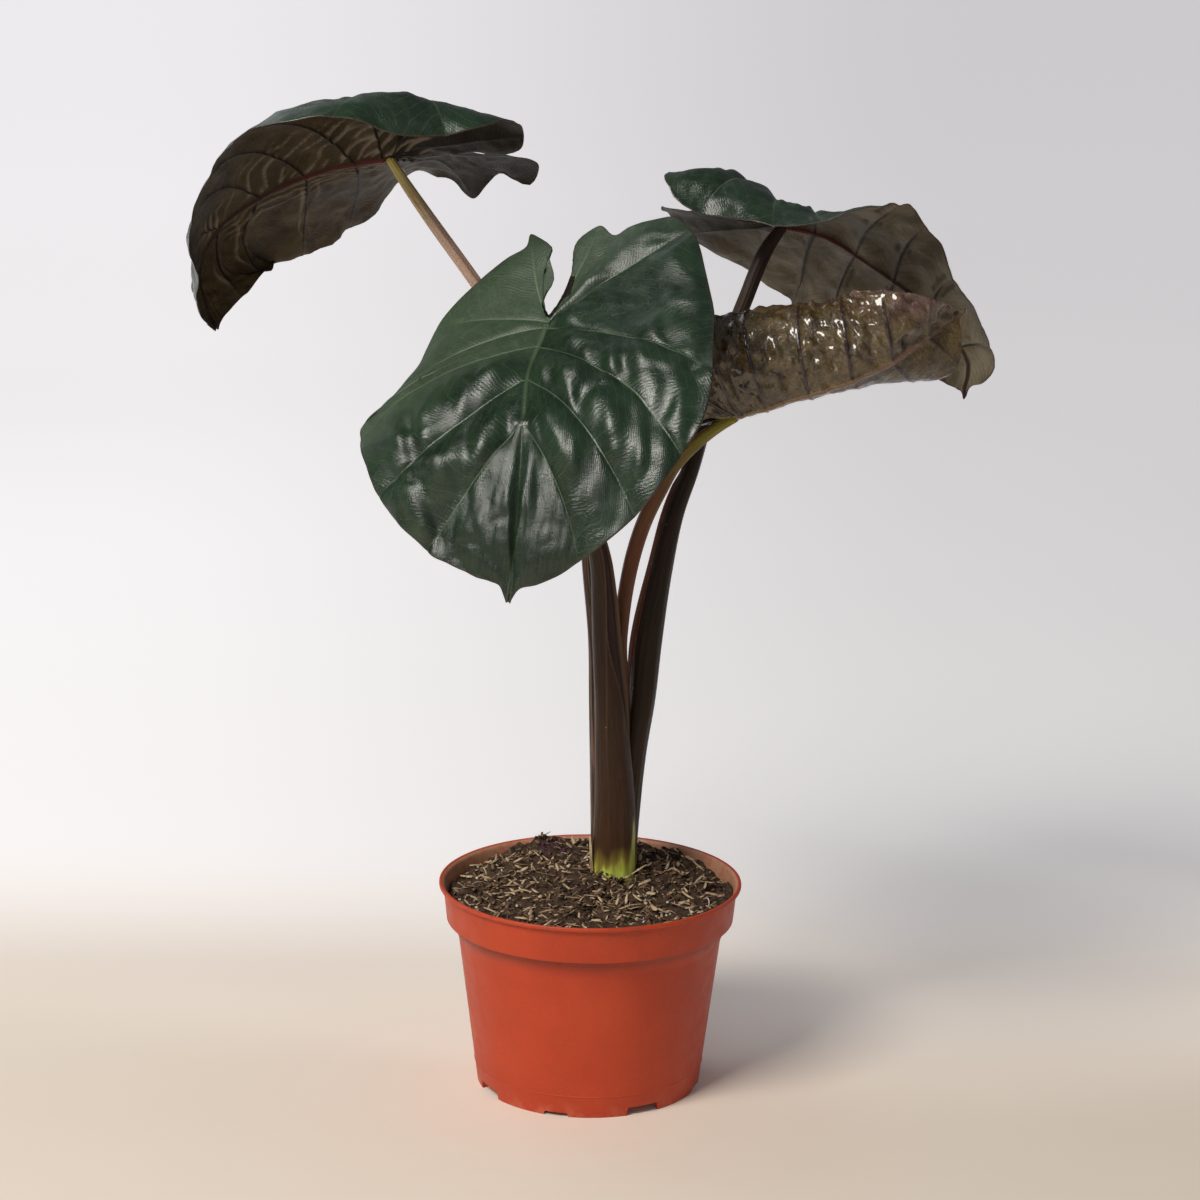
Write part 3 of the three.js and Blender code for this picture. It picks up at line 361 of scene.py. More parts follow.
class Shader:
    """Builds one node material. Its colours are display colours from 0 to 255, painted in layers
    from the bottom up. A socket or a plain number can go wherever a value is wanted."""

    def __init__(self, name):
        self.material = bpy.data.materials.new(name)
        self.material.use_nodes = True
        self.tree = self.material.node_tree
        self.colour = None

    def put(self, socket, value):
        if isinstance(value, bpy.types.NodeSocket):
            self.tree.links.new(value, socket)
        elif socket.type == "RGBA":
            socket.default_value = (*rgb(*value), 1)
        else:
            socket.default_value = value

    def node(self, kind, settings=None, **sockets):
        """Sockets are given by name, or by number after an i."""
        node = self.tree.nodes.new(kind)
        for key, value in (settings or {}).items():
            setattr(node, key, value)
        for name, value in sockets.items():
            key = int(name[1:]) if name[0] == "i" and name[1:].isdigit() else name.replace("_", " ")
            self.put(node.inputs[key], value)
        return node

    def finish(self, **sockets):
        surface = self.tree.nodes["Principled BSDF"]
        for name, value in {"base_color": self.colour, **sockets}.items():
            self.put(surface.inputs[name.replace("_", " ").title().replace("Ior", "IOR")], value)
        return self.material

    def number(self, name):
        return self.node("ShaderNodeAttribute", {"attribute_name": name}).outputs["Fac"]

    def vector(self, name):
        return self.node("ShaderNodeAttribute", {"attribute_name": name}).outputs["Vector"]

    def position(self):
        return self.node("ShaderNodeTexCoord").outputs["Object"]

    def part(self, vector, axis):
        return self.node("ShaderNodeSeparateXYZ", Vector=vector).outputs[axis]

    def stretch(self, vector, *scale):
        return self.node("ShaderNodeMapping", Vector=vector, Scale=scale).outputs["Vector"]

    def noise(self, vector, scale, detail=4, roughness=0.55, distortion=0):
        return self.node("ShaderNodeTexNoise", Vector=vector, Scale=scale, Detail=detail,
                         Roughness=roughness, Distortion=distortion).outputs["Fac"]

    def cells(self, vector, scale):
        return self.node("ShaderNodeTexVoronoi", Vector=vector, Scale=scale).outputs["Distance"]

    def math(self, operation, a, b):
        return self.node("ShaderNodeMath", {"operation": operation}, i0=a, i1=b).outputs[0]

    def times(self, a, b):
        return self.math("MULTIPLY", a, b)

    def measure(self, operation, a, *b):
        """A vector operation that gives a number."""
        sockets = {"i1": b[0]} if b else {}
        return self.node("ShaderNodeVectorMath", {"operation": operation}, i0=a, **sockets).outputs["Value"]

    def fade(self, value, low, high, start=0, end=1, kind="SMOOTHSTEP"):
        """From start at low to end at high, smoothly."""
        return self.node("ShaderNodeMapRange", {"interpolation_type": kind}, Value=value, From_Min=low,
                         From_Max=high, To_Min=start, To_Max=end).outputs[0]

    def mix(self, factor, a, b):
        return self.node("ShaderNodeMix", {"data_type": "RGBA"}, i0=factor, i6=a, i7=b).outputs[2]

    def paint(self, mask, colour):
        """Puts a colour on top of what is there, where the mask is 1."""
        self.colour = self.mix(mask, self.colour, colour)

    def bump(self, height, distance, strength=1, normal=None):
        below = {} if normal is None else {"Normal": normal}
        return self.node("ShaderNodeBump", Height=height, Distance=distance, Strength=strength,
                         **below).outputs[0]

    def ramp(self, value, stops, interpolation="LINEAR"):
        """stops are (value, linear colour) pairs, rising."""
        low, high = stops[0][0], stops[-1][0]
        node = self.node("ShaderNodeValToRGB", i0=self.fade(value, low, high, kind="LINEAR"))
        node.color_ramp.interpolation = interpolation
        points = node.color_ramp.elements
        while len(points) < len(stops):
            points.new(0.5)
        for point, (at, colour) in zip(points, stops):
            point.position = (at - low) / (high - low)
            point.color = (*colour, 1)
        return node.outputs[0]

    def colour_ramp(self, value, stops):
        return self.ramp(value, [(at, rgb(*colour)) for at, colour in stops])


# The camera, the stage and the light, in metres

CAMERA = {"place": (0.004, -1.742, 0.703), "pitch": 12.68, "roll": 0.69, "lens": 87, "sensor": 36}
FLOOR_HALF = 60
AIM = (0, 0, 0.35)
# name: [place, size, watts, colour]
LIGHTS = {
    "key": ((-1.35, -1.6, 2.2), (1.2, 1.0), 77, (255, 250, 243)),
    "front": ((-0.3, -2.6, 1.1), (1.2, 0.8), 3.5, (255, 252, 248)),
    "back": ((-1.2, 1.5, 1.6), (1.5, 1.5), 5, (246, 249, 255)),
}
SKY_COLOUR, SKY_STRENGTH = (240, 240, 244), 0.17
# How much the floor glows, by metres behind the pot: [distance, share]
GLOW = [
    (0.2, 0), (0.36, 0.32), (0.47, 0.34), (0.77, 0.4), (1.15, 0.47), (1.65, 0.55), (2.36, 0.64),
    (3.4, 0.73), (6.6, 0.79),
]


def add_camera():
    pitch, roll = math.radians(CAMERA["pitch"]), math.radians(CAMERA["roll"])
    ahead = Vector((0, math.cos(pitch), -math.sin(pitch)))
    level = Vector((1, 0, 0))
    upright = level.cross(ahead)
    right = math.cos(roll) * level + math.sin(roll) * upright
    up = math.cos(roll) * upright - math.sin(roll) * level
    data = bpy.data.cameras.new("camera")
    data.lens = CAMERA["lens"]
    data.sensor_width = CAMERA["sensor"]
    data.clip_end = 50
    camera = bpy.data.objects.new("camera", data)
    turn = Matrix((right, up, -ahead)).transposed().to_4x4()
    camera.matrix_world = Matrix.Translation(CAMERA["place"]) @ turn
    bpy.context.scene.collection.objects.link(camera)
    bpy.context.scene.camera = camera


def add_light(name, place, size, power, colour):
    data = bpy.data.lights.new(name, "AREA")
    data.shape = "RECTANGLE"
    data.size, data.size_y = size
    data.energy = power
    data.color = rgb(*colour)
    light = bpy.data.objects.new(name, data)
    light.location = place
    light.rotation_euler = (Vector(AIM) - Vector(place)).to_track_quat("-Z", "Y").to_euler()
    bpy.context.scene.collection.objects.link(light)


def floor_material():
    """Pale paint, warm round the pot, that glows softly towards the horizon. The glow is painted light:
    dimmer to the right as a painted shadow, with a painted fill light on the floor near the pot.
    """
    s = Shader("floor_paint")
    place = s.position()
    x, y = s.part(place, "X"), s.part(place, "Y")
    behind = s.fade(s.math("DIVIDE", y, s.measure("LENGTH", place)), 0, 0.5)
    s.colour = s.mix(s.times(s.noise(place, 9, 3), 0.5), (238, 226, 212), (233, 219, 203))
    s.paint(s.times(s.fade(y, 0.1, 0.55), behind), (240, 239, 240))
    aside = s.math("DIVIDE", x, s.math("ADD", y, -CAMERA["place"][1]))
    glow = s.ramp(y, [(at, (share,) * 3) for at, share in GLOW], "B_SPLINE")
    # Painted shadow: the glow is dimmer to the right
    glow = s.times(glow, s.fade(aside, -0.17, 0.13, 1, 0.66))
    # Painted fill light: the floor near the pot glows a little, more on the right
    near = s.times(s.fade(y, 0.2, 0.5, 1, 0), s.fade(y, -0.1, 0.15))
    lift = s.times(near, s.fade(x, -0.2, 0.25, 0.06, 0.17))
    return s.finish(roughness=0.75, specular_ior_level=0.25, emission_color=(246, 243, 245),
                    emission_strength=s.math("ADD", s.times(glow, behind), lift),
                    normal=s.bump(s.noise(place, 700, 2), 0.0002, 0.3))


def add_stage():
    mesh = bpy.data.meshes.new("floor")
    square = [(x * FLOOR_HALF, y * FLOOR_HALF, 0) for x, y in ((-1, -1), (1, -1), (1, 1), (-1, 1))]
    mesh.from_pydata(square, [], [(0, 1, 2, 3)])
    mesh.materials.append(floor_material())
    floor = bpy.data.objects.new("floor", mesh)
    bpy.context.scene.collection.objects.link(floor)

    world = bpy.data.worlds.new("world")
    world.use_nodes = True
    sky = world.node_tree.nodes["Background"].inputs
    sky["Color"].default_value = (*rgb(*SKY_COLOUR), 1)
    sky["Strength"].default_value = SKY_STRENGTH
    bpy.context.scene.world = world
    bpy.context.scene.view_settings.view_transform = "Standard"
    for name, look in LIGHTS.items():
        add_light(name, *look)


# Blades

def clustered(steps, pull):
    """Shares from 0 to 1, closer together at both ends."""
    share = np.linspace(0, 1, steps + 1)
    return share - pull * np.sin(2 * math.pi * share) / (2 * math.pi)


class Blade:
    """Turns a place on the flat blade into a place on the bent one."""

    def __init__(self, plan):
        self.plan = plan
        points = np.array([point for point, _ in plan["spine"]], float)
        facing = unit(np.array([direction for _, direction in plan["spine"]], float))
        chord = distances(points)
        at = np.linspace(0, chord[-1], SPINE_SAMPLES)
        self.line = curve_at(chord, points, at)
        length = distances(self.line)
        self.forward = length - np.interp(chord[1], at, length)
        self.ahead = unit(np.gradient(self.line, axis=0))
        up = curve_at(chord, facing, at)
        self.up = unit(up - (up * self.ahead).sum(1, keepdims=True) * self.ahead)
        self.aside = np.cross(self.ahead, self.up)

    def along(self, values, forward):
        columns = [np.interp(forward, self.forward, values[:, k]) for k in range(3)]
        return np.stack(columns, -1)

    def bend(self, forward, out, side):
        """The blade bends round its spine in small equal steps outwards."""
        beyond = np.clip(forward - self.forward[-1], 0, None)
        before = np.clip(forward - self.forward[0], None, 0)
        place = self.along(self.line, forward)
        place += beyond[..., None] * self.ahead[-1] + before[..., None] * self.ahead[0]
        up = unit(self.along(self.up, forward))
        aside = unit(self.along(self.aside, forward))
        sections = self.plan["sections"]
        angles = curve_at([row[0] for row in sections],
                          [row[1] if side > 0 else row[2] for row in sections], forward)
        step = out / BEND_STEPS
        for k in range(BEND_STEPS):
            reach = np.clip((k + 0.5) * step / self.plan["half_width"], 0, 1.2) * 3
            turn = np.radians(self.angle_at(angles, reach))[..., None]
            place = place + step[..., None] * (np.cos(turn) * side * aside + np.sin(turn) * up)
        return place

    @staticmethod
    def angle_at(angles, reach):
        i = np.clip(np.floor(reach).astype(int), 0, 2)
        t = reach - i

        def value(j):
            return np.take_along_axis(angles, np.clip(j, 0, 3)[..., None], -1)[..., 0]

        start, end = value(i), value(i + 1)
        leave = np.where(i > 0, (end - value(i - 1)) / 2, end - start)
        arrive = np.where(i < 2, (value(i + 2) - start) / 2, end - start)
        return (
            (2 * t**3 - 3 * t**2 + 1) * start + (t**3 - 2 * t**2 + t) * leave
            + (3 * t**2 - 2 * t**3) * end + (t**3 - t**2) * arrive
        )

    def flat(self, side, number, reach):
        plan = self.plan
        edge = rows_at(plan["right"] if side > 0 else plan["left"], number)
        root = np.stack([line_at(VEIN_ROOTS, number) * plan["length"], np.zeros_like(number)], -1)
        way = edge - root
        length = np.linalg.norm(way, axis=-1, keepdims=True) + 1e-9
        sideways = np.stack([way[..., 1], -way[..., 0]], -1) / length
        bow = (line_at(VEIN_BOWS, number) * plan["bow"] * 4 * reach * (1 - reach))[..., None]
        place = root + way * reach[..., None] + sideways * bow
        return place[..., 0], np.clip(place[..., 1], 0, None), length[..., 0]


def blade_grid(plan):
    """Everything that the relief and the colours need to know about each point of the sheet."""
    blade = Blade(plan)
    numbers = np.concatenate([k + clustered(STEPS_PER_VEIN, 0.5)[:-1] for k in range(9)] + [[9]])
    number, reach = np.meshgrid(numbers, clustered(ROWS, 0.35), indexing="ij")
    halves = []
    for side in (1, -1):
        forward, out, length = blade.flat(side, number, reach)
        halves.append({
            "place": blade.bend(forward, out, side), "vein": number, "reach": reach,
            "forward": forward, "out": out, "side": np.full_like(out, side),
            "along": reach * length, "edge": (1 - reach) * length,
        })
    return halves


def sheet_of(halves):
    """Joins the halves at the midrib. Returns the values per point, the quads facing up and the
    points round the margin."""
    count, rows = halves[0]["vein"].shape
    rib = np.arange(count)
    numbers = []
    following = count
    for _ in halves:
        index = np.empty((count, rows), int)
        index[:, 0] = rib
        index[0], index[-1] = rib[0], rib[-1]
        inner = (count - 2) * (rows - 1)
        index[1:-1, 1:] = following + np.arange(inner).reshape(count - 2, rows - 1)
        following += inner
        numbers.append(index)
    fields = {}
    for key, first in halves[0].items():
        joined = np.empty((following, *first.shape[2:]))
        for half, index in zip(halves, numbers):
            joined[index[1:-1, 1:]] = half[key][1:-1, 1:]
        joined[:count] = first[:, 0]
        fields[key] = joined
    faces = []
    for index, side in zip(numbers, (1, -1)):
        a, b, c, d = index[:-1, :-1], index[:-1, 1:], index[1:, 1:], index[1:, :-1]
        faces.append(np.stack([a, b, c, d] if side > 0 else [a, d, c, b], -1).reshape(-1, 4))
    right, left = numbers
    rim = np.concatenate([right[:-1, -1], left[:0:-1, -1]])
    return fields, np.concatenate(faces), rim


def normals_of(points, faces):
    across = points[faces[:, 2]] - points[faces[:, 0]]
    up = points[faces[:, 3]] - points[faces[:, 1]]
    face_normals = np.cross(across, up)
    normals = np.zeros_like(points)
    for k in range(4):
        np.add.at(normals, faces[:, k], face_normals)
    return unit(normals)


# How each blade is creased and puckered, in millimetres
# veins: the last side vein that shows; calm: [half, vein number where the calm part ends, its
# share of the relief]; bumps: [half, forward, its spread, out, its spread, height]. The right
# half of a plan is 1 and the left half is -1.
RELIEF = {
    "front": {
        "veins": 6, "groove": 1.4, "billow": 3.4, "size": 22, "folds": 3, "crumple": 0.08,
        "fine": 0, "ruffle": 1, "seed": 21,
        "calm": [(1, 4.4, 0.1), (-1, 1.8, 0.25)],
        "bumps": [
            (1, 87, 4, 0, 5, 2), (-1, 87, 4, 0, 5, 2), (-1, 60, 12, 26, 12, 3),
            (-1, 104, 14, 34, 14, 3.5), (1, 100, 12, 22, 10, 3.5), (1, 108, 10, 50, 12, 3),
        ],
    },
    "left": {
        "veins": 7, "groove": 0.7, "billow": 1.4, "size": 17, "folds": 0.8, "crumple": 0.5,
        "fine": 0.15, "ruffle": 2, "seed": 35, "calm": [], "bumps": [],
    },
    "right": {
        "veins": 8, "groove": 1, "billow": 2.6, "size": 18, "folds": 1.2, "crumple": 0.5,
        "fine": 0.15, "ruffle": 1.6, "seed": 47, "calm": [], "bumps": [],
    },
    "new": {
        "veins": 8, "groove": 0.7, "billow": 1.6, "size": 9, "folds": 0.6, "crumple": 2.4,
        "fine": 0.3, "ruffle": 0.8, "seed": 59, "calm": [(-1, 10, 0.3)], "bumps": [],
    },
}
PILLOW = 0.3
CREASE_DEPTH = 1.4
KEEL = {"height": 2.6, "width": 2.4}
VEIN_RIDGE = {"height": 0.5, "width": 1.1}
SHEET = {"edge": 0.3, "middle": 0.8, "taper": 4}


def gap_of(name, f):
    """Millimetres from the nearest side vein that shows, on the flat blade."""
    flat = np.stack([f["forward"], f["out"]], -1)
    points = flat.reshape(-1, 1, 2)
    nearest = np.full(f["vein"].size, np.inf)
    for number in range(1, RELIEF[name]["veins"] + 1):
        line = flat[number * STEPS_PER_VEIN]
        start, way = line[:-1], np.diff(line, axis=0)
        share = ((points - start) * way).sum(-1) / ((way * way).sum(-1) + 1e-9)
        foot = start + np.clip(share, 0, 1)[..., None] * way
        nearest = np.minimum(nearest, np.linalg.norm(points - foot, axis=-1).min(1))
    return nearest.reshape(f["vein"].shape)


def lively_share(name, f):
    """1 where the blade is puckered, less on its calm parts."""
    share = np.ones_like(f["vein"])
    for side, number, quiet in RELIEF[name]["calm"]:
        fade = 1 - smooth_step(number - 0.6, number + 0.4, f["vein"])
        share = share - (1 - quiet) * fade * (f["side"] == side)
    return share


def window(value, low, full, fading, high):
    """0 below low, 1 between full and fading, and 0 above high."""
    return smooth_step(low, full, value) * (1 - smooth_step(fading, high, value))


def repeated_crests(value):
    """1 at each whole number and a half, falling off steeply between them."""
    return (1 - np.abs(2 * (value % 1) - 1)) ** 4


def left_crests(f):
    """Creases on the underside of the left blade: slanting ones and arcs beside the midrib, and
    wavy ones along the side veins near the tip."""
    x, out, side = f["forward"], f["out"], f["side"]
    y = out * side
    warp = 7 * noise(131, x / 26, y / 26) + 2 * noise(132, x / 9, y / 9)
    slanting = 0
    for lean, pitch, seed in ((0.95, 9.5, 133), (0.5, 9, 134)):
        line = repeated_crests((out + lean * x + warp) / pitch)
        slanting = slanting + line * smooth_step(-0.6, 0, noise(seed, x / 24, y / 15))
    slanting = slanting * window(out, 1.5, 5, 26, 46) * window(x, -40, -15, 110, 135) * (side < 0)
    arcs = repeated_crests((out + 4.5 * np.abs(np.sin(x / 11)) + 0.6 * warp) / 6)
    arcs = arcs * window(out, 1.5, 4, 14, 28) * window(x, -60, -35, 105, 130) * (side > 0)
    gap = f["gap"] * np.sign(f["vein"] - np.round(f["vein"])) + 0.8 * warp
    beside = 0.7 * bell(gap, 4, 1.3) + 0.5 * bell(gap, -4.5, 1.2)
    beside = beside * smooth_step(6, 16, out) * (1 - smooth_step(0.6, 0.95, f["reach"]))
    beside = beside * window(f["vein"], 4.4, 4.8, 7.2, 7.6) * (side > 0)
    return np.clip(slanting + arcs + beside, 0, 1)


def right_dents(f):
    """Short dents beside the side veins, on the underside of the right blade."""
    places = noise(141, f["along"] / 11, f["vein"] * 2.3 + 30 + 20 * f["side"])
    dents = bell(f["gap"], 3.6, 1.8) * smooth_step(0.25, 0.6, places)
    return dents * smooth_step(8, 16, f["out"]) * smooth_step(2.5, 3.5, f["vein"])


def crests_of(name, f):
    """1 along the sharp folds that stand out on the underside, 0 between them, -1 in dents."""
    if name == "left":
        return left_crests(f)
    if name == "right":
        return -right_dents(f)
    return np.zeros_like(f["vein"])


def relief_of(name, f):
    """How far each point of the sheet stands up from the plain bent blade."""
    look = RELIEF[name]
    seed, last, size = look["seed"], look["veins"], look["size"]
    x, y = f["forward"], f["out"] * f["side"]
    vein, reach, gap = f["vein"], f["reach"], f["gap"]
    lively = lively_share(name, f)
    spread = np.where(vein > last, last + (vein - last) / (9 - last), vein)
    fade = smooth_step(0, 0.2, reach) * (1 - 0.6 * smooth_step(0.75, 1, reach))
    ends = smooth_step(0.8, 2, vein) * (1 - smooth_step(8, 8.8, vein))
    off_vein = 1 - np.exp(-gap / 4)
    from_rib = 1 - np.exp(-f["out"] / 5)

    arch = np.abs(np.sin(math.pi * spread)) ** 1.2
    height = LEAVES[name]["quilt"] * arch * fade * ends * (0.2 + 0.8 * lively)
    groove = look["groove"] * (0.4 + 0.6 * lively)
    height -= groove * np.exp(-gap / 1.5) * (1 - 0.75 * reach) * from_rib * ends
    height -= groove * np.exp(-f["out"] / 1.8) * (1 - 0.4 * vein / 9)

    chevron = (f["along"] - 0.9 * gap + 5 * noise(seed + 1, x / 30, y / 30)) / 15
    height += PILLOW * off_vein * fade * (np.abs(np.sin(math.pi * chevron)) - 0.6)
    warp = 6 * noise(seed + 11, x / 26, y / 26)
    billows = np.hypot(noise(seed + 2, (x + warp) / size, (y - warp) / size), 0.12)
    billows += 0.2 * np.hypot(noise(seed + 3, (x - warp) / size * 2, (y + warp) / size * 2), 0.2)
    height += look["billow"] * (billows - 0.4) * off_vein * from_rib * lively

    wander = 0.3 * noise(seed + 8, x / 20, y / 20)
    folds = noise(seed + 4, f["along"] / 13 + wander, 1.3 * spread * f["side"] + 9)
    folds = folds * (1 - 0.7 * smooth_step(last - 0.2, last + 0.3, vein))
    height += look["folds"] * folds * (0.25 + 0.75 * off_vein) * from_rib * (0.1 + 0.9 * lively)

    small = noise(seed + 5, x / 5, y / 8) + 0.5 * noise(seed + 6, x / 3.2, y / 4.5)
    height += look["crumple"] * small * off_vein * (0.4 + 0.6 * fade) * lively
    height += look["fine"] * noise(seed + 7, x / 3.5, y / 3.5)
    height += look["ruffle"] * np.exp(-f["edge"] / 14) * noise(seed + 10, x / 17, y / 17)
    for side, forward, along, out, across, rise in look["bumps"]:
        here = bell(x, forward, along) * bell(f["out"], out, across)
        height += rise * here * (f["side"] == side)
    return height - CREASE_DEPTH * crests_of(name, f)


def make_blade(name, slot, top_material, under_material):
    halves = blade_grid(LEAVES[name])
    for half in halves:
        half["gap"] = gap_of(name, half)
        half["crest"] = crests_of(name, half)
        half["matte"] = 1 - lively_share(name, half)
    fields, quads, rim = sheet_of(halves)
    place, vein, out = fields["place"], fields["vein"], fields["out"]
    place = place + normals_of(place, quads) * relief_of(name, fields)[:, None]
    normals = normals_of(place, quads)
    taper = 1 - np.exp(-fields["edge"] / SHEET["taper"])
    thickness = SHEET["edge"] + (SHEET["middle"] - SHEET["edge"]) * taper
    keel = KEEL["height"] * (1 - 0.8 * vein / 9) * bell(out, 0, KEEL["width"])
    keel = keel * smooth_step(1.2, 3, vein)
    ridge = VEIN_RIDGE["height"] * (1 - 0.7 * fields["reach"])
    keel += ridge * bell(fields["gap"], 0, VEIN_RIDGE["width"]) * (vein > 0.5) * (vein < 8.5)
    top = place + normals * (thickness / 2)[:, None]
    under = place - normals * (thickness / 2 + keel)[:, None]
    count = len(place)
    following = np.roll(rim, -1)
    rims = np.stack([rim, rim + count, following + count, following], -1)
    faces, sides = [], []
    for group, side in ((quads, 0), (quads[:, ::-1] + count, 1), (rims, 0)):
        corners = [list(dict.fromkeys(face)) for face in group.tolist()]
        kept = [face for face in corners if len(face) > 2]
        faces += kept
        sides += [side] * len(kept)
    piece = new_object(f"{name}_blade", np.concatenate([top, under]), faces,
                       [top_material, under_material], sides)
    for key in ("vein", "gap", "along", "edge", "crest", "matte"):
        add_attribute(piece, key, np.tile(fields[key], 2))
    add_attribute(piece, "rib", np.tile(out, 2))
    flat = np.stack([fields["forward"], out * fields["side"], 0 * out], -1)
    add_attribute(piece, "flat", np.tile(flat, (2, 1)))
    hand_over(piece, slot, f"blade_{name}")


def vein_lines(s, thin, wide, rib_thin, rib_wide):
    """1 on the side veins and on the midrib, 0 between them."""
    side = s.fade(s.number("gap"), thin, wide, 1, 0)
    side = s.times(side, s.fade(s.number("vein"), 0.55, 0.8))
    side = s.times(side, s.fade(s.number("vein"), 8.2, 8.45, 1, 0))
    return side, s.fade(s.number("rib"), rib_thin, rib_wide, 1, 0)


def chevrons(s, pitch):
    """Fine side veins, which run outwards and forwards from each side vein. 0 on a line."""
    lean = s.times(s.number("gap"), -0.9)
    wander = s.times(s.noise(s.vector("flat"), 0.04, 2), 14)
    place = s.math("ADD", s.math("ADD", s.number("along"), lean), wander)
    return s.math("PINGPONG", s.math("DIVIDE", place, pitch), 0.5)


def blade_top_material():
    s = Shader("blade_top")
    flat, vein, edge, matte = s.vector("flat"), s.number("vein"), s.number("edge"), s.number("matte")
    side, middle = vein_lines(s, 0.1, 0.9, 0.5, 1.9)
    side = s.times(side, s.fade(edge, 3, 45, 0.1, 0.75))
    side = s.times(side, s.fade(vein, 4.2, 5.4, 1, 0.6))
    middle = s.times(middle, s.fade(vein, 5.6, 6.1, 0.38, 0.2))
    lines = s.times(s.math("MAXIMUM", side, middle), 0.5)
    lines = s.math("MAXIMUM", lines, s.fade(chevrons(s, 8), 0, 0.07, 0.08, 0))
    patches = s.fade(s.noise(flat, 0.028, 5, 0.6, 0.4), 0.35, 0.65)
    s.colour = s.mix(patches, (16, 32, 21), (27, 47, 31))
    s.paint(s.fade(s.noise(flat, 0.11), 0.45, 0.75, 0, 0.4), (38, 62, 40))
    # Painted shade: darker towards the tip of the blade
    s.paint(s.fade(vein, 5.6, 6.6, 0, 0.5), (9, 27, 16))
    # Painted sheen: the calm part of the blade is lighter
    s.paint(s.times(matte, 0.45), (70, 90, 66))
    dust = s.fade(s.noise(flat, 0.16, 6, 0.75, 0.6), 0.42, 0.7)
    s.paint(s.times(dust, s.fade(matte, 0, 0.9, 0.1, 0.4)), (74, 92, 68))
    s.paint(lines, (118, 140, 104))
    s.paint(s.fade(edge, 0.4, 1.4, 0.6, 0), (58, 44, 36))
    dots = s.fade(s.cells(flat, 0.16), 0.012, 0.03, 0.5, 0)
    s.paint(dots, (190, 200, 180))
    rough = s.fade(s.noise(flat, 0.06), 0.3, 0.7, 0.23, 0.32)
    rough = s.math("ADD", rough, s.times(matte, 0.24))
    weave = s.noise(s.stretch(flat, 1.2, 0.25, 1), 1, 3)
    normal = s.bump(s.noise(flat, 1.6, 4, 0.6), 0.0003, 0.5)
    normal = s.bump(weave, 0.0005, 0.4, normal)
    normal = s.bump(chevrons(s, 2.1), 0.0004, 0.3, normal)
    return s.finish(roughness=rough, specular_ior_level=0.56, normal=normal)


def blade_under_material(name, low, high):
    s = Shader(name)
    flat, vein, edge, crest = s.vector("flat"), s.number("vein"), s.number("edge"), s.number("crest")
    side, middle = vein_lines(s, 0.35, 0.9, 1.2, 2.8)
    s.colour = s.mix(s.fade(s.noise(flat, 0.035, 5, 0.6, 0.5), 0.35, 0.65), low, high)
    s.paint(s.fade(s.noise(flat, 0.02, 2), 0.45, 0.7, 0, 0.5), (50, 50, 38))
    s.paint(s.fade(chevrons(s, 5), 0, 0.1, 0.4, 0), (40, 30, 25))
    s.paint(s.fade(s.noise(flat, 0.5, 4, 0.7), 0.5, 0.75, 0, 0.45), (84, 74, 60))
    # Painted shade on the lobes behind the stalk
    lobe_shade = s.fade(vein, 1.6, 3.2, 0.9, 0)
    s.paint(lobe_shade, (20, 16, 10))
    # Painted highlight along the fold crests
    s.paint(s.times(s.fade(crest, 0.1, 0.9), 0.6), (136, 124, 108))
    # Painted shade in the dents
    dents = s.fade(crest, -0.1, -0.9, 0, 0.5)
    s.paint(dents, (28, 21, 17))
    s.paint(s.times(side, s.fade(edge, 2, 22, 0.15, 0.95)), (14, 8, 8))
    red = s.mix(s.fade(vein, 2, 7), (92, 42, 42), (48, 30, 27))
    s.paint(s.times(middle, s.fade(vein, 1.6, 2.4)), red)
    s.paint(s.fade(edge, 0.3, 1.2, 0.7, 0), (62, 30, 28))
    wrinkles = s.noise(s.stretch(flat, 0.6, 0.25, 1), 1, 3)
    normal = s.bump(s.noise(flat, 1.4, 4, 0.6), 0.0004, 0.5)
    normal = s.bump(wrinkles, 0.0012, 0.35, normal)
    normal = s.bump(chevrons(s, 2.4), 0.0005, 0.4, normal)
    rough = s.fade(s.noise(flat, 0.08), 0.3, 0.7, 0.4, 0.54)
    return s.finish(roughness=rough, specular_ior_level=0.12, normal=normal)


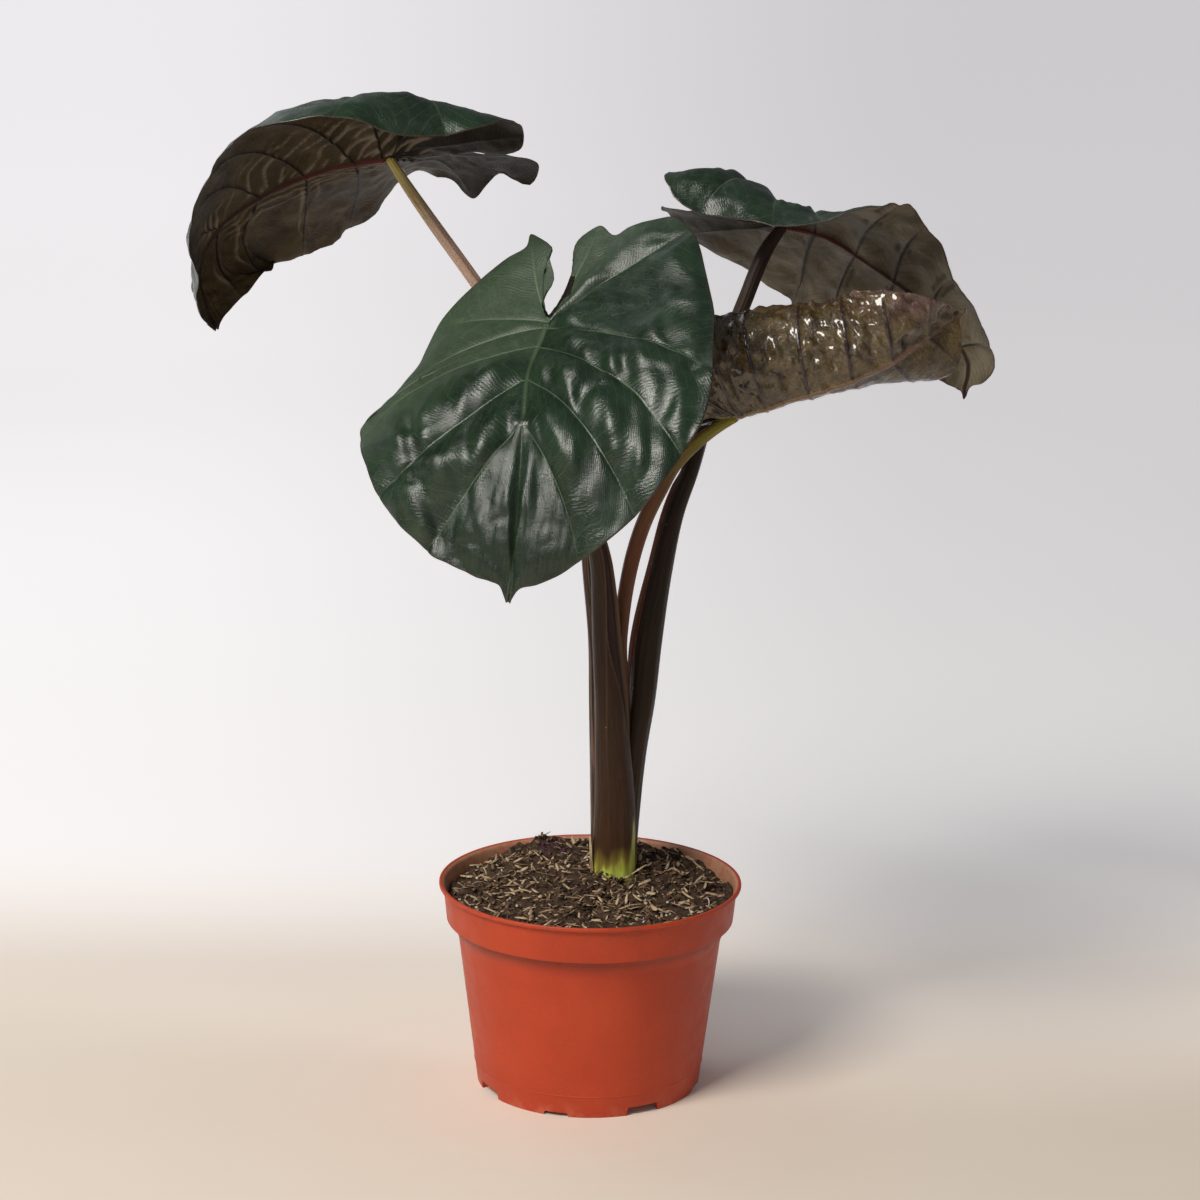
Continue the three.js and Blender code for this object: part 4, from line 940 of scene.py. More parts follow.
def new_blade_material(name, low, high):
    """The glossy skin of the rolled leaf, purple along one margin."""
    s = Shader(name)
    flat, edge = s.vector("flat"), s.number("edge")
    half = s.part(flat, "Y")
    side, middle = vein_lines(s, 0.5, 1.3, 0.9, 1.7)
    s.colour = s.mix(s.fade(s.noise(flat, 0.09, 6, 0.7, 0.5), 0.35, 0.65), low, high)
    s.paint(s.fade(s.noise(flat, 0.05, 3), 0.5, 0.7, 0, 0.5), (74, 70, 40))
    purple = s.times(s.fade(edge, 3, 26, 0.6, 0), s.fade(s.noise(flat, 0.07, 3), 0.35, 0.6, 0.2, 1))
    s.paint(s.times(purple, s.fade(half, 0, 8)), (92, 56, 62))
    s.paint(s.fade(chevrons(s, 5), 0, 0.12, 0.5, 0), (56, 38, 30))
    specks = s.noise(s.stretch(flat, 1, 0.5, 1), 0.6, 4, 0.7)
    s.paint(s.fade(specks, 0.54, 0.7, 0, 0.6), (128, 104, 76))
    s.paint(s.times(side, s.fade(edge, 4, 30, 0.3, 0.95)), (38, 16, 22))
    rib = [(0, (124, 118, 52)), (4, (128, 100, 66)), (9, (92, 62, 54))]
    s.paint(middle, s.colour_ramp(s.number("vein"), rib))
    crumple = s.noise(s.stretch(flat, 0.42, 0.2, 1), 1, 5, 0.6, 0.6)
    normal = s.bump(chevrons(s, 2.6), 0.0006, 0.4, s.bump(crumple, 0.003, 0.6))
    return s.finish(roughness=s.fade(s.noise(flat, 0.1), 0.3, 0.7, 0.1, 0.2), specular_ior_level=0.4,
                    coat_weight=s.fade(half, -4, 4, 0.2, 1), coat_roughness=0.05, normal=normal)


# Stalks
# Round a stalk, 0 degrees is its right side, 90 its back and 270 its front. A sheath is open
# along a mouth, from a near margin to a far one: [z, near margin, far margin, depth].

SHEATHS = {
    "front": {
        "mouth": [
            (120, 358, 364, 0), (156, 354, 364, 0.2), (202, 350, 362, 0.6), (219, 344, 361, 0.9),
            (240, 324, 360, 1.5), (262, 300, 360, 2.2), (287, 276, 359, 2.4), (315, 282, 358, 2),
            (349, 292, 356, 1.2), (380, 300, 350, 0),
        ],
        "lip": 0.35, "far_lip": 0.7,
    },
    "right": {
        "mouth": [
            (200, 178, 168, 0), (230, 184, 168, 0.8), (253, 198, 168, 2), (269, 212, 168, 2.6),
            (298, 218, 168, 2.8), (322, 208, 168, 2.4), (343, 206, 168, 1.8), (384, 200, 170, 0),
        ],
        "lip": 0.35, "far_lip": 1.9,
    },
}
# The front stalk also has a raised ridge, [z, degrees], and a pale stripe up from its foot
RIDGE = [(110, 262), (182, 258), (226, 253), (248, 258), (287, 270), (339, 290), (480, 290)]
STRIPE = {"at": 338, "height": 32, "width": 13}
# The bumps of a stalk and the ragged top of its pale foot: [size, fineness round it, pitch]
BUMPS = [(0.22, 4, 60), (0.1, 9, 90)]
RAGS = [(5, 3, 16), (2.5, 9, 8)]
# name: [points round, steps along]
STALK_GRIDS = {"front": (120, 180), "left": (40, 220), "right": (120, 200), "new": (40, 200)}


def sheath_shape(sheath, turn, z):
    """How far a sheathed stalk grows out, where its hollow is and where its lips are."""
    mouth = rows_at(sheath["mouth"], z[:, 0])
    near, far, depth = (mouth[:, k][:, None] for k in range(3))
    toward = np.sign(far - near)
    from_near = toward * turn_between(turn, near)
    from_far = toward * turn_between(far, turn)
    depth = np.clip(depth, 0, None)
    open_here = smooth_step(0, 0.6, depth)
    hollow = smooth_step(0, 5, from_near) * smooth_step(0, 4, from_far)
    hollow = hollow * (from_near > 0) * (from_far > 0)
    lip, far_lip = bell(from_near, 0, 3) * open_here, bell(from_far, 0, 5) * open_here
    grow = sheath["lip"] * lip + sheath["far_lip"] * far_lip - depth * hollow
    lines = np.maximum(bell(from_near, 0, 2.4), bell(from_far, 0, 3)) * open_here
    return grow, hollow * open_here, lines


def make_stalk(name, slot, material):
    rows = np.array(STALKS[name], float)
    sides, steps = STALK_GRIDS[name]
    chord = distances(rows[:, :3])
    along = np.linspace(0, chord[-1], steps + 1)
    values = curve_at(chord, rows, along)
    centre, half_width, half_depth = values[:, :3], values[:, 3:4], values[:, 4:5]
    ahead = unit(np.gradient(centre, axis=0))
    across = unit(np.cross([0, 1, 0], ahead))
    deep = np.cross(ahead, across)
    turn = np.linspace(0, 360, sides, endpoint=False)
    z = centre[:, 2:3] + 0 * turn
    cosine, sine = np.cos(np.radians(turn)) + 0 * z, np.sin(np.radians(turn)) + 0 * z

    def round_noise(first, rows):
        """Sums up noise that closes on itself round the stalk."""
        return sum(size * noise(first + len(name) + k, fine * cosine + 20, fine * sine + 20, z / pitch)
                   for k, (size, fine, pitch) in enumerate(rows))

    grow = hollow = lines = np.zeros_like(z)
    stripe = 0
    if name in SHEATHS:
        grow, hollow, lines = sheath_shape(SHEATHS[name], turn, z)
    if name == "front":
        ridge = bell(turn_between(turn, line_at(RIDGE, z)), 0, 4) * smooth_step(130, 170, z)
        grow = grow + 0.5 * ridge
        lines = np.maximum(lines, 0.35 * ridge * smooth_step(190, 240, z))
        stripe = STRIPE["height"] * bell(turn_between(turn, STRIPE["at"]), 0, STRIPE["width"])
    grow = grow + round_noise(70, BUMPS)
    points = (centre[:, None] + (cosine * (half_width + grow))[..., None] * across[:, None]
              + (sine * (half_depth + grow))[..., None] * deep[:, None]).reshape(-1, 3)
    faces = tube_faces(steps + 1, sides) + end_faces(steps + 1, sides)
    piece = new_object(f"{name}_stalk", points, faces, [material])
    low = 1 - smooth_step(150, 210, z)
    add_attribute(piece, "height", (z + (round_noise(72, RAGS) - stripe) * low).ravel())
    add_attribute(piece, "inner", hollow.ravel())
    add_attribute(piece, "line", lines.ravel())
    grain = np.stack([cosine * half_width, sine * half_width, 0 * z + along[:, None]], -1)
    add_attribute(piece, "grain", grain.reshape(-1, 3))
    hand_over(piece, slot, f"stalk_{name}")


# Stalk colours: [z, colour] up from the foot, then the colours of two kinds of broad streak, of
# fine streaks, of the sheath's hollow and of its lips
DARK = (51, 32, 19)
FOOT = [(106, (208, 216, 124)), (127, (194, 208, 98)), (133, (184, 196, 84)), (139, (126, 112, 50)),
        (148, (66, 45, 28))]
STALK_COLOURS = {
    "front": (
        [(260, DARK), (400, (56, 42, 32)), (478, (92, 74, 48)), (488, (52, 78, 50))],
        [(62, 32, 25), (50, 44, 27), (76, 60, 42), (48, 22, 22), (120, 98, 72)],
    ),
    "left": (
        [(300, DARK), (400, (124, 98, 82)), (470, (184, 154, 136)), (538, (192, 164, 144)),
         (560, (180, 164, 110)), (580, (188, 182, 92))],
        [(136, 98, 82), (112, 92, 74), (190, 164, 144), DARK, (166, 144, 122)],
    ),
    "right": (
        [(300, (40, 30, 22)), (440, (44, 33, 26)), (540, (54, 38, 32))],
        [(52, 34, 26), (44, 38, 26), (66, 52, 38), (92, 28, 24), (160, 118, 98)],
    ),
    "new": (
        [(240, (72, 44, 28)), (330, (98, 54, 34)), (385, (98, 66, 36)), (410, (118, 110, 44)),
         (430, (146, 146, 60))],
        [(112, 56, 36), (76, 54, 30), (124, 92, 58), DARK, (136, 108, 70)],
    ),
}


def stalk_material(name):
    stops, (warm, green, pale, hollow, lip) = STALK_COLOURS[name]
    s = Shader(f"{name}_stalk_skin")
    height, grain = s.number("height"), s.vector("grain")
    above = s.fade(height, 140, 175)
    ripple = s.noise(s.stretch(grain, 0.5, 0.5, 0.012), 1, 4, 0.6)
    fine = s.noise(s.stretch(grain, 2, 2, 0.02), 1, 3, 0.6)
    s.colour = s.colour_ramp(height, FOOT + stops)
    s.paint(s.times(s.fade(ripple, 0.5, 0.68), above), warm)
    s.paint(s.times(s.fade(ripple, 0.46, 0.3), above), green)
    s.paint(s.times(s.fade(fine, 0.52, 0.7, 0, 0.5), above), pale)
    s.paint(s.times(s.number("inner"), 0.9), hollow)
    s.paint(s.times(s.number("line"), 0.7), lip)
    s.paint(s.fade(s.cells(s.stretch(grain, 1, 1, 0.4), 0.16), 0.02, 0.05, 0.7, 0), (190, 180, 160))
    rough = s.fade(s.noise(s.stretch(grain, 0.4, 0.4, 0.05), 1, 3), 0.3, 0.7, 0.3, 0.45)
    normal = s.bump(ripple, 0.001, 0.4, s.bump(fine, 0.0004, 0.5))
    return s.finish(roughness=rough, specular_ior_level=0.22, normal=normal)


# Pot: [radius, height, corner radius] round the wall, from the middle of the underside

POT_OUTLINE = [
    (68.1, 6.5, 0.5), (68.1, 0, 0.5), (70.6, 0, 0.7), (72.25, 13.4, 0.3), (72.8, 14, 0.25),
    (72.5, 14.8, 0.3), (82.8, 96.8, 5), (86.4, 104, 2), (87, 106.9, 0.2), (90.2, 107.3, 0.3),
    (92.3, 127.6, 0.6), (93.4, 128.2, 0.4), (95, 128.6, 0.7), (95, 131, 1.1),
    (93.1, 131, 0.9), (91.6, 129.5, 1), (90.8, 126, 1.5), (88.7, 109.3, 2), (87.7, 105.5, 2),
    (84.7, 102.5, 2), (81.4, 99, 2), (81.4, 97, 1), (70.1, 8, 1.5),
]
POT_TURNS = 288
CORNER_STEPS = 4
# Four low notches and four high ones, cut through the foot: [first, width, height]
NOTCHES = [(-106, 14, 2.6), (-61, 20, 5.4)]
NOTCH = {"flare": 1.2, "top_flare": 0.3, "from": 64.5, "to": 76.5}
DRAIN_HOLES = {"first": -61, "ring": 54, "radius": 5, "middle": 6, "from": 5.5, "to": 9, "sides": 32}
SHARP_CORNER = 42


def rounded_outline(corners):
    """The outline with each corner as a short curve, closed on the axis at both ends."""
    points = np.array([corner[:2] for corner in corners], float)
    first, last = points[0] * (0, 1), points[-1] * (0, 1)
    outline = [first]
    for before, here, after, corner in zip([first, *points], points, [*points[1:], last], corners):
        back, on, radius = before - here, after - here, corner[2]
        reach = min(radius, 0.45 * np.linalg.norm(back), 0.45 * np.linalg.norm(on))
        start = here + back / np.linalg.norm(back) * reach
        end = here + on / np.linalg.norm(on) * reach
        for t in np.linspace(0, 1, CORNER_STEPS + 1):
            outline.append((1 - t) ** 2 * start + 2 * t * (1 - t) * here + t**2 * end)
    return np.array(outline + [last])


def cut(piece, points, faces):
    mesh = bpy.data.meshes.new("cutter")
    mesh.from_pydata((np.asarray(points) * MM).tolist(), [], faces)
    cutter = bpy.data.objects.new("cutter", mesh)
    bpy.context.scene.collection.objects.link(cutter)
    modifier = piece.modifiers.new("cut", "BOOLEAN")
    modifier.operation = "DIFFERENCE"
    modifier.solver = "EXACT"
    modifier.object = cutter
    bpy.context.view_layer.update()
    shape = bpy.data.meshes.new_from_object(piece.evaluated_get(bpy.context.evaluated_depsgraph_get()))
    piece.modifiers.remove(modifier)
    piece.data = shape
    bpy.data.objects.remove(cutter)


def prism(outline, axis_from, axis_to):
    """A solid between two copies of an outline of points."""
    outline = np.asarray(outline, float)
    points = np.concatenate([outline + axis_from, outline + axis_to])
    return points, end_faces(2, len(outline)) + tube_faces(2, len(outline))


def direction(angle):
    return np.array([math.cos(angle), math.sin(angle), 0])


def pot_material():
    s = Shader("pot_plastic")
    place = s.position()
    height = s.part(place, "Z")
    facing = s.node("ShaderNodeNewGeometry").outputs["Normal"]
    level = s.times(height, s.part(facing, "Z"))
    sideways = s.math("SUBTRACT", s.measure("DOT_PRODUCT", place, facing), level)
    s.colour = s.mix(s.fade(s.noise(place, 22, 4, 0.6), 0.3, 0.7), (177, 57, 22), (188, 64, 27))
    streaks = s.noise(s.stretch(place, 60, 60, 6), 1, 4, 0.6)
    s.paint(s.fade(streaks, 0.55, 0.75, 0, 0.3), (158, 52, 28))
    s.paint(s.fade(s.noise(place, 900, 2, 0.7), 0.56, 0.7, 0, 0.2), (206, 104, 70))
    dusty = s.times(s.fade(height, 0.112, 0.131), s.fade(s.noise(place, 160), 0.5, 0.72))
    s.paint(s.times(dusty, 0.45), (120, 70, 48))
    inside = s.times(s.fade(sideways, -0.03, -0.07), s.fade(height, 0.09, 0.1))
    soiled = s.fade(s.noise(place, 190, 4, 0.7), 0.3, 0.6, 0.5, 0.95)
    s.paint(s.times(inside, soiled), (190, 144, 114))
    # Painted shade under the band's ledge, on the outside of the wall
    shade_under_band = s.times(s.fade(height, 0.097, 0.1055), s.fade(height, 0.1066, 0.1072, 1, 0))
    s.paint(s.times(shade_under_band, s.fade(sideways, 0, 0.02, 0, 0.45)), (84, 28, 16))
    foot = s.times(s.fade(height, 0.012, 0), s.fade(s.noise(place, 120), 0.45, 0.7))
    s.paint(s.times(foot, 0.3), (214, 138, 112))
    uneven = s.noise(s.stretch(place, 14, 14, 5), 1, 2)
    normal = s.bump(uneven, 0.002, 0.12, s.bump(s.noise(place, 1400, 2), 0.00012, 0.5))
    return s.finish(roughness=s.fade(s.noise(place, 90), 0.3, 0.7, 0.42, 0.56), specular_ior_level=0.45,
                    subsurface_weight=0.06, subsurface_scale=0.004, normal=normal)


def make_pot():
    outline = rounded_outline(POT_OUTLINE)
    wall = outline[1:-1]
    turns = np.radians(np.linspace(0, 360, POT_TURNS, endpoint=False))
    ring = np.stack([np.cos(turns), np.sin(turns)], -1)
    points = [(0, 0, outline[0][1]), (0, 0, outline[-1][1])]
    for radius, height in wall:
        points += [(*(radius * xy), height) for xy in ring]
    faces = tube_faces(len(wall), POT_TURNS, first=2)
    last = 2 + (len(wall) - 1) * POT_TURNS
    for k in range(POT_TURNS):
        faces.append((0, 2 + (k + 1) % POT_TURNS, 2 + k))
        faces.append((1, last + k, last + (k + 1) % POT_TURNS))
    pot = new_object("nursery_pot", points, faces, [pot_material()])
    for first, width, height in NOTCHES:
        low, high = width / 2 + NOTCH["flare"], width / 2 + NOTCH["top_flare"]
        for quarter in range(4):
            out = direction(math.radians(first + 90 * quarter))
            aside = np.array([-out[1], out[0], 0])
            section = [aside * -low + (0, 0, -1), aside * low + (0, 0, -1),
                       aside * high + (0, 0, height), aside * -high + (0, 0, height)]
            cut(pot, *prism(section, out * NOTCH["from"], out * NOTCH["to"]))
    holes = [(np.zeros(3), DRAIN_HOLES["middle"])]
    for quarter in range(4):
        middle = DRAIN_HOLES["ring"] * direction(math.radians(DRAIN_HOLES["first"] + 90 * quarter))
        holes.append((middle, DRAIN_HOLES["radius"]))
    corners = np.linspace(0, 2 * math.pi, DRAIN_HOLES["sides"], endpoint=False)
    for middle, radius in holes:
        circle = [middle + radius * direction(corner) for corner in corners]
        cut(pot, *prism(circle, (0, 0, DRAIN_HOLES["from"]), (0, 0, DRAIN_HOLES["to"])))
    pot.data.polygons.foreach_set("use_smooth", np.full(len(pot.data.polygons), True))
    pot.data.set_sharp_from_angle(angle=math.radians(SHARP_CORNER))
    hand_over(pot, "pot_plastic", "pot")


# Soil, with the chips, straw and fibres that lie on it
# hills: [x, y, spread, height]; rough: [noise seed, size of a bump, shift, height]

SOIL = {
    "edge": 121.5, "hills": [(15, 20, 48, 7), (-5, 82, 70, 7.5), (-32, 74, 22, 3)], "lump": 1.1,
    "rough": [(85, 14, 30, 1.6), (81, 7, 30, 2.2), (82, 3.4, 40, 1.4), (83, 1.7, 50, 0.8)],
    "pits": (84, 2.6, 40, 1.2), "rings": 130, "turns": 300, "bottom": 8.5, "gap": 0.4,
    "levels": (112, 105.5, 102.5, 99, 97, 50),
}
POT_INSIDE = [(8, 70.1), (97, 81.4), (99, 81.4), (102.5, 84.7), (105.5, 87.7), (126, 90.8)]
STEM = {"x": 14.5, "y": 18, "radius": 15}
# material: [dark, middling and pale colour, roughness]
SOIL_COLOURS = {
    "bed": ((34, 25, 19), (70, 53, 41), (112, 88, 68), 0.95),
    "clod": ((40, 30, 23), (80, 61, 47), (124, 97, 76), 0.95),
    "bark": ((80, 60, 44), (124, 98, 74), (164, 134, 104), 0.85),
    "straw": ((150, 122, 92), (198, 172, 138), (230, 212, 182), 0.7),
    "perlite": ((190, 178, 158), (226, 218, 204), (242, 238, 230), 0.6),
}
PURPLE_SPOT = {"place": (-0.024, 0.062, 0.131), "from": 0.004, "to": 0.016, "colour": (88, 44, 84)}
# kind: [how many, shortest, longest, width, thickness, lift, material]
CHIPS = [
    (1300, 1.4, 5, 1.2, 1, 0.3, "clod"),
    (560, 2.5, 9, 1.1, 0.4, 0.8, "bark"),
    (420, 3, 8, 0.9, 0.25, 1.2, "straw"),
    (150, 6, 13, 1.2, 0.3, 1.8, "straw"),
    (60, 1, 2.4, 1, 0.9, 0.6, "perlite"),
]
CHIP_SIDES = 5
SHORT_CHIP = 2.4
CHIP_FIELD, CHIP_LIMIT = 85.5, 88.5
# Longer pieces that can be told apart: [x, y, heading, length, radius, bend, material]
FIBRES = [
    (-12, -80, 20, 16, 0.42, 1.5, "perlite"), (-6, -81, 75, 12, 0.38, 1.9, "perlite"),
    (24, -78, 35, 15, 0.32, 1.3, "perlite"), (-55, -8, -8, 17, 0.7, 0.15, "straw"),
    (-5, 34, -14, 10, 0.75, 0.3, "perlite"), (62, -42, 115, 12, 0.35, 0.5, "perlite"),
    (73, -26, 100, 13, 0.35, 0.6, "perlite"), (-62, 22, 40, 11, 0.4, 0.3, "straw"),
    (50, 30, -25, 12, 0.4, 0.6, "straw"), (-34, -52, 140, 15, 0.35, 0.7, "straw"),
]
MORE_FIBRES = 46
FIBRE_STEPS = 12
FIBRE_SIDES = 6
FIBRE_FIELD, FIBRE_LIMIT = 84, 87


class Pile:
    """Gathers many bodies into one mesh."""

    def __init__(self):
        self.bodies, self.faces, self.materials = [], [], []
        self.count = 0

    def add(self, points, faces, material):
        self.faces += [[corner + self.count for corner in face] for face in faces]
        self.materials += [list(SOIL_COLOURS).index(material)] * len(faces)
        self.bodies.append(np.asarray(points))
        self.count += len(points)


def wall_radius(height):
    return line_at(POT_INSIDE, height) - SOIL["gap"]


def soil_height(x, y, rough=True):
    height = SOIL["edge"] + 0 * x
    for px, py, spread, rise in SOIL["hills"]:
        height = height + rise * np.exp(-((x - px) ** 2 + (y - py) ** 2) / spread**2)
    wander = np.sin(x * 0.31 + 1.3 * np.sin(y * 0.17)) * np.cos(y * 0.27 - 0.9 * np.sin(x * 0.13))
    height = height + SOIL["lump"] * wander
    if rough:
        for seed, size, shift, rise in SOIL["rough"]:
            height = height + rise * noise(seed, x / size + shift, y / size + shift)
        seed, size, shift, depth = SOIL["pits"]
        height = height - depth * np.clip(noise(seed, x / size + shift, y / size + shift), 0, 1)
    return height


def add_soil_bed(pile):
    """The filled body: the rough top, the side against the pot and the underside."""
    count = SOIL["turns"]
    turns = np.radians(np.linspace(0, 360, count, endpoint=False))
    points = [(0, 0, float(soil_height(np.array(0.0), np.array(0.0))))]
    for share in np.linspace(0, 1, SOIL["rings"] + 1)[1:]:
        radius = share * wall_radius(SOIL["edge"] - 0.5)
        x, y = radius * np.cos(turns), radius * np.sin(turns)
        points += list(zip(x, y, soil_height(x, y)))
    for height in (*SOIL["levels"], SOIL["bottom"]):
        radius = wall_radius(height)
        points += [(radius * math.cos(t), radius * math.sin(t), height) for t in turns]
    points.append((0, 0, SOIL["bottom"]))
    rings = (len(points) - 2) // count
    last = 1 + (rings - 1) * count
    faces = [(0, 1 + k, 1 + (k + 1) % count) for k in range(count)]
    faces += tube_faces(rings, count, corners=(0, 2, 3, 1), first=1)
    faces += [(len(points) - 1, last + (k + 1) % count, last + k) for k in range(count)]
    pile.add(points, faces, "bed")


def chip_shape(random, length, width, thickness):
    """A bent splinter of five-cornered sections, thinner at both ends."""
    stations = 4 if length > SHORT_CHIP else 3
    bow = random.uniform(-0.05, 0.05) * length
    twist = random.uniform(-0.7, 0.7)
    points = []
    for share in np.arange(stations) / (stations - 1):
        full = 0.35 + 0.65 * math.sin(math.pi * (0.15 + 0.7 * share))
        full *= random.uniform(0.75, 1.2)
        for k in range(CHIP_SIDES):
            angle = 2 * math.pi * k / CHIP_SIDES + twist * share
            radius = full * random.uniform(0.75, 1.15)
            points.append(((share - 0.5) * length,
                           width * radius * math.cos(angle) + bow * (1 - (2 * share - 1) ** 2),
                           thickness * radius * math.sin(angle)))
    return np.array(points), end_faces(stations, CHIP_SIDES) + tube_faces(stations, CHIP_SIDES)


def turned(points, yaw, pitch, roll):
    turn = (Matrix.Rotation(yaw, 3, "Z") @ Matrix.Rotation(pitch, 3, "Y")
            @ Matrix.Rotation(roll, 3, "X"))
    return points @ np.array(turn).T


def clear_of_stem(points):
    """Moves a chip straight out until no corner of it is inside the stem."""
    away = points[:, :2] - (STEM["x"], STEM["y"])
    missing = STEM["radius"] - np.linalg.norm(away, axis=1).min()
    if missing > 0:
        points = points + (*(unit(away.mean(0)) * missing * 1.3), 0.3 * missing)
    return points


def random_place(random, field):
    radius = field * math.sqrt(random.random())
    angle = random.uniform(0, 2 * math.pi)
    return radius, radius * math.cos(angle), radius * math.sin(angle)


def add_chips(pile):
    random = np.random.default_rng(11)
    for count, shortest, longest, width, thickness, lift, kind in CHIPS:
        for _ in range(count):
            length = shortest + (longest - shortest) * random.random() ** 1.8
            radius, x, y = random_place(random, CHIP_FIELD)
            scale = random.uniform(0.6, 1.35)
            shape, faces = chip_shape(random, length, width * scale, thickness * scale)
            steep = random.normal(0, 0.4) if kind != "clod" else random.uniform(-0.6, 0.6)
            shape = turned(shape, random.uniform(0, 2 * math.pi), steep, random.uniform(-0.8, 0.8))
            if radius + length / 2 > CHIP_LIMIT:
                x, y = (part * (CHIP_LIMIT - length / 2) / radius for part in (x, y))
            shape = shape + (x, y, float(soil_height(np.array(x), np.array(y))) + lift)
            pile.add(clear_of_stem(shape), faces, kind)


def add_fibres(pile):
    random = np.random.default_rng(12)
    wanted = list(FIBRES)
    for _ in range(MORE_FIBRES):
        _, x, y = random_place(random, FIBRE_FIELD)
        wanted.append((x, y, random.uniform(0, 360), random.uniform(5, 12),
                       random.uniform(0.12, 0.26), random.uniform(-2, 2), "straw"))
    share = np.linspace(0, 1, FIBRE_STEPS + 1)
    faces = tube_faces(FIBRE_STEPS + 1, FIBRE_SIDES, corners=(1, 0, 2, 3))
    faces += [face[::-1] for face in end_faces(FIBRE_STEPS + 1, FIBRE_SIDES)]
    angle = (2 * math.pi * np.arange(FIBRE_SIDES) / FIBRE_SIDES)[None, :, None]
    for x, y, heading, length, radius, bend, kind in wanted:
        if math.hypot(x - STEM["x"], y - STEM["y"]) < STEM["radius"] + length / 2:
            continue
        turn = np.radians(heading) + bend * (share - 0.5) * 2
        step = length / FIBRE_STEPS
        line = np.stack([x + np.cumsum(np.cos(turn)) * step, y + np.cumsum(np.sin(turn)) * step], -1)
        line = line / np.maximum(np.hypot(line[:, 0], line[:, 1]) / FIBRE_LIMIT, 1)[:, None]
        z = soil_height(line[:, 0], line[:, 1], rough=False) + 1.1 + 1.2 * np.sin(share * math.pi)
        line = np.concatenate([line, z[:, None]], -1)
        ahead = unit(np.gradient(line, axis=0))
        across = unit(np.cross(ahead, [0, 0, 1]))
        up = np.cross(across, ahead)
        thick = radius * (0.35 + 0.65 * np.sin(math.pi * (0.1 + 0.8 * share)))[:, None, None]
        ring = np.cos(angle) * across[:, None] + np.sin(angle) * up[:, None]
        pile.add((line[:, None] + thick * ring).reshape(-1, 3), faces, kind)


def soil_material(name, dark, middling, pale, rough):
    s = Shader(f"soil_{name}")
    place = s.position()
    s.colour = s.mix(s.fade(s.noise(place, 130, 5, 0.7), 0.35, 0.55), dark, middling)
    s.paint(s.fade(s.noise(place, 420, 3, 0.7), 0.5, 0.75, 0, 0.7), pale)
    if name == "clod":
        away = s.measure("DISTANCE", place, PURPLE_SPOT["place"])
        s.paint(s.fade(away, PURPLE_SPOT["from"], PURPLE_SPOT["to"], 0.75, 0), PURPLE_SPOT["colour"])
    normal = s.bump(s.noise(place, 1500, 4, 0.7), 0.0006, 0.8)
    return s.finish(roughness=rough, specular_ior_level=0.3, normal=normal)


def make_soil():
    pile = Pile()
    add_soil_bed(pile)
    add_chips(pile)
    add_fibres(pile)
    looks = [soil_material(name, *look) for name, look in SOIL_COLOURS.items()]
    soil = new_object("potting_soil", np.concatenate(pile.bodies), pile.faces, looks, pile.materials)
    hand_over(soil, "soil", "soil")


# The dry bract at the foot of the stem, a thin curved scale

BRACT = {
    "bottom": 123, "top": 154, "from": 158, "to": 218, "narrowing": 0.6, "flare": 0.8, "curl": 0.5,
    "thickness": 0.35, "lift": 0.7, "ragged": 1.4, "wave": 0.25, "across": 40, "up": 48,
}


def bract_material():
    s = Shader("dry_bract")
    place = s.position()
    fibres = s.noise(s.stretch(place, 900, 900, 40), 1, 3)
    s.colour = s.mix(s.fade(fibres, 0.35, 0.65), (96, 72, 52), (164, 138, 104))
    s.paint(s.fade(s.part(place, "Z"), 0.136, 0.152), (206, 184, 150))
    return s.finish(roughness=0.7, specular_ior_level=0.3, subsurface_weight=0.08,
                    subsurface_scale=0.002, normal=s.bump(fibres, 0.0005, 0.7))


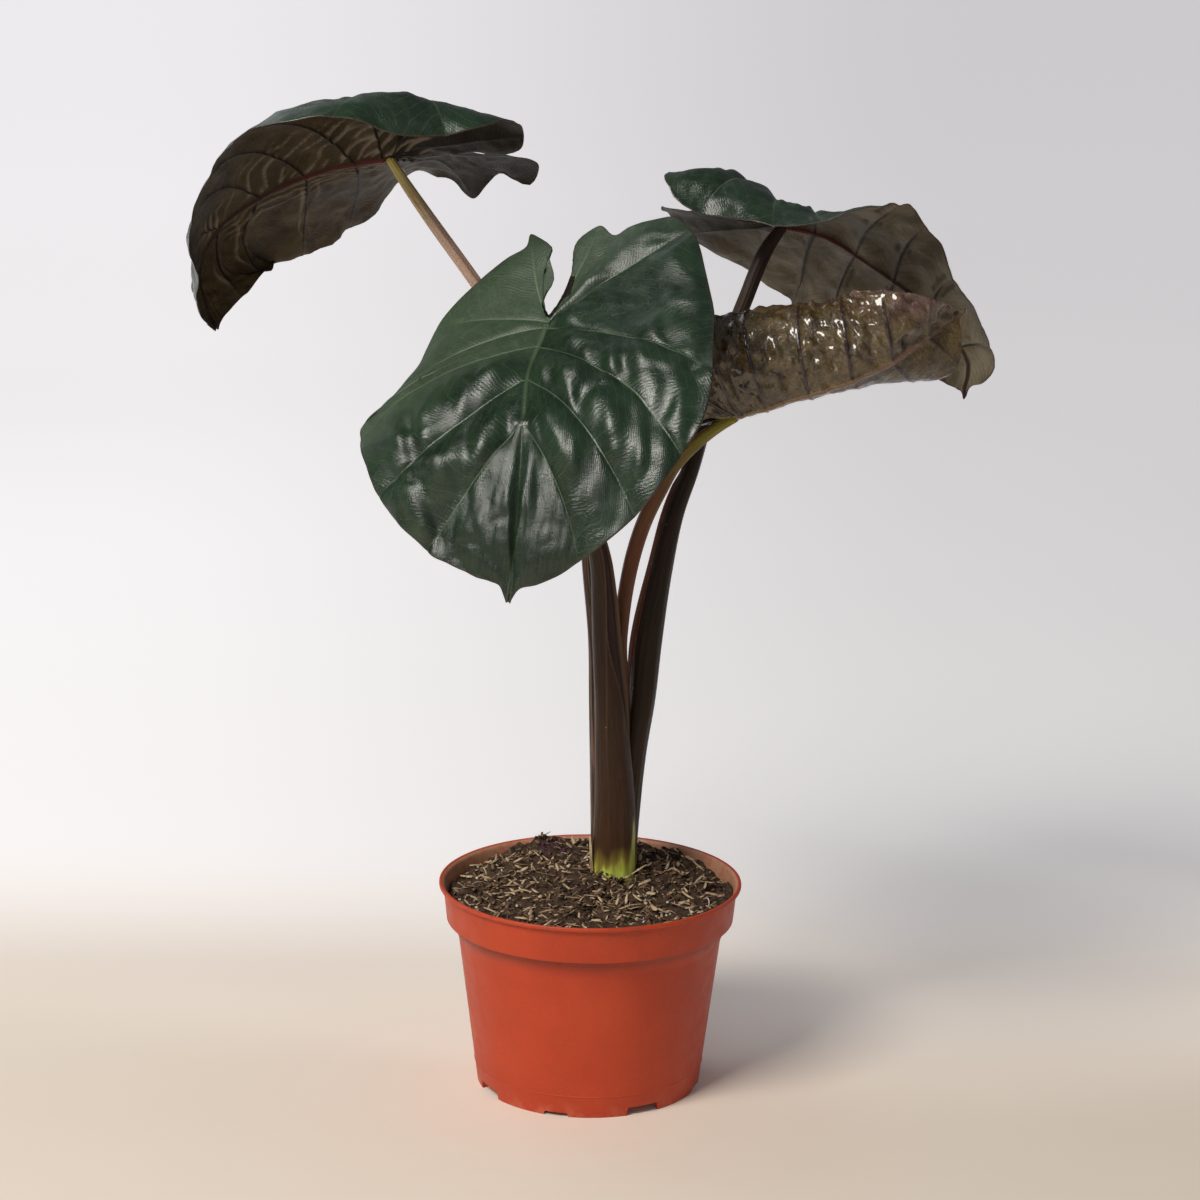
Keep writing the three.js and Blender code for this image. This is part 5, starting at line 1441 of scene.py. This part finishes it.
def bract_layer(extra):
    """The points of one face of the bract, moved out by extra."""
    rows = np.array(STALKS["front"], float)
    level, column = np.meshgrid(np.arange(BRACT["up"] + 1), np.arange(BRACT["across"] + 1),
                                indexing="ij")
    up, aside = level / BRACT["up"], column / BRACT["across"]
    z = BRACT["bottom"] + (BRACT["top"] - BRACT["bottom"]) * up
    stalk = curve_at(distances(rows[:, :3]), rows, z - rows[0, 2])
    x, y, _, half_width, half_depth = np.moveaxis(stalk, -1, 0)
    spread = (BRACT["to"] - BRACT["from"]) * (aside - 0.5) * (1 - BRACT["narrowing"] * up)
    angle = np.radians((BRACT["from"] + BRACT["to"]) / 2 + spread)
    curl = BRACT["flare"] * up**2 + BRACT["curl"] * (2 * aside - 1) ** 2 * up
    wave = BRACT["wave"] * noise(92, column / 6 + 9, level / 9 + 9)
    out = BRACT["lift"] + curl + wave + extra
    torn = BRACT["ragged"] * smooth_step(0.6, 1, up) * noise(91, column / 3 + 9, 4.5 + 0 * up)
    return np.stack([x + np.cos(angle) * (half_width + out), y + np.sin(angle) * (half_depth + out),
                     z + torn], -1).reshape(-1, 3)


def make_bract():
    layers = [bract_layer(0), bract_layer(BRACT["thickness"])]
    count = len(layers[0])
    grid = np.arange(count).reshape(BRACT["up"] + 1, BRACT["across"] + 1)
    corners = grid[:-1, :-1], grid[:-1, 1:], grid[1:, 1:], grid[1:, :-1]
    faces = []
    for a, b, c, d in zip(*(corner.ravel() for corner in corners)):
        faces += [[count + a, count + b, count + c, count + d], [b, a, d, c]]
    edge = [*grid[0], *grid[1:, -1], *grid[-1, -2::-1], *grid[-2:0:-1, 0]]
    for a, b in zip(edge, edge[1:] + edge[:1]):
        faces.append([a, b, count + b, count + a])
    piece = new_object("papery_bract", np.concatenate(layers), faces, [bract_material()])
    hand_over(piece, "bract", "dry_bract")


def corm_material():
    s = Shader("corm_skin")
    rings = s.noise(s.stretch(s.position(), 60, 60, 500), 1, 3)
    s.colour = s.mix(s.fade(rings, 0.35, 0.65), (92, 66, 44), (168, 132, 92))
    return s.finish(roughness=0.85, normal=s.bump(rings, 0.001, 0.7))


# Putting the scene together

add_camera()
add_stage()

TOP = blade_top_material()
UNDER = blade_under_material("blade_under", (52, 42, 26), (76, 64, 42))
make_blade("front", "blade", TOP, UNDER)
make_blade("left", "blade", TOP, UNDER)
# The right blade's underside is greyer, and lighter as painted light that makes up for the shade it sits in
make_blade("right", "blade", TOP, blade_under_material("right_under", (82, 76, 62), (114, 106, 88)))
make_blade("new", "new_blade", new_blade_material("new_blade_top", (30, 44, 30), (52, 62, 38)),
           new_blade_material("new_blade_under", (54, 43, 25), (94, 78, 45)))
for name in STALK_COLOURS:
    make_stalk(name, "new_stalk" if name == "new" else "stalk", stalk_material(name))

make_pot()
make_soil()
make_bract()
skin = corm_material()
for slot in bpy.data.objects["corm_and_roots"].material_slots:
    slot.material = skin
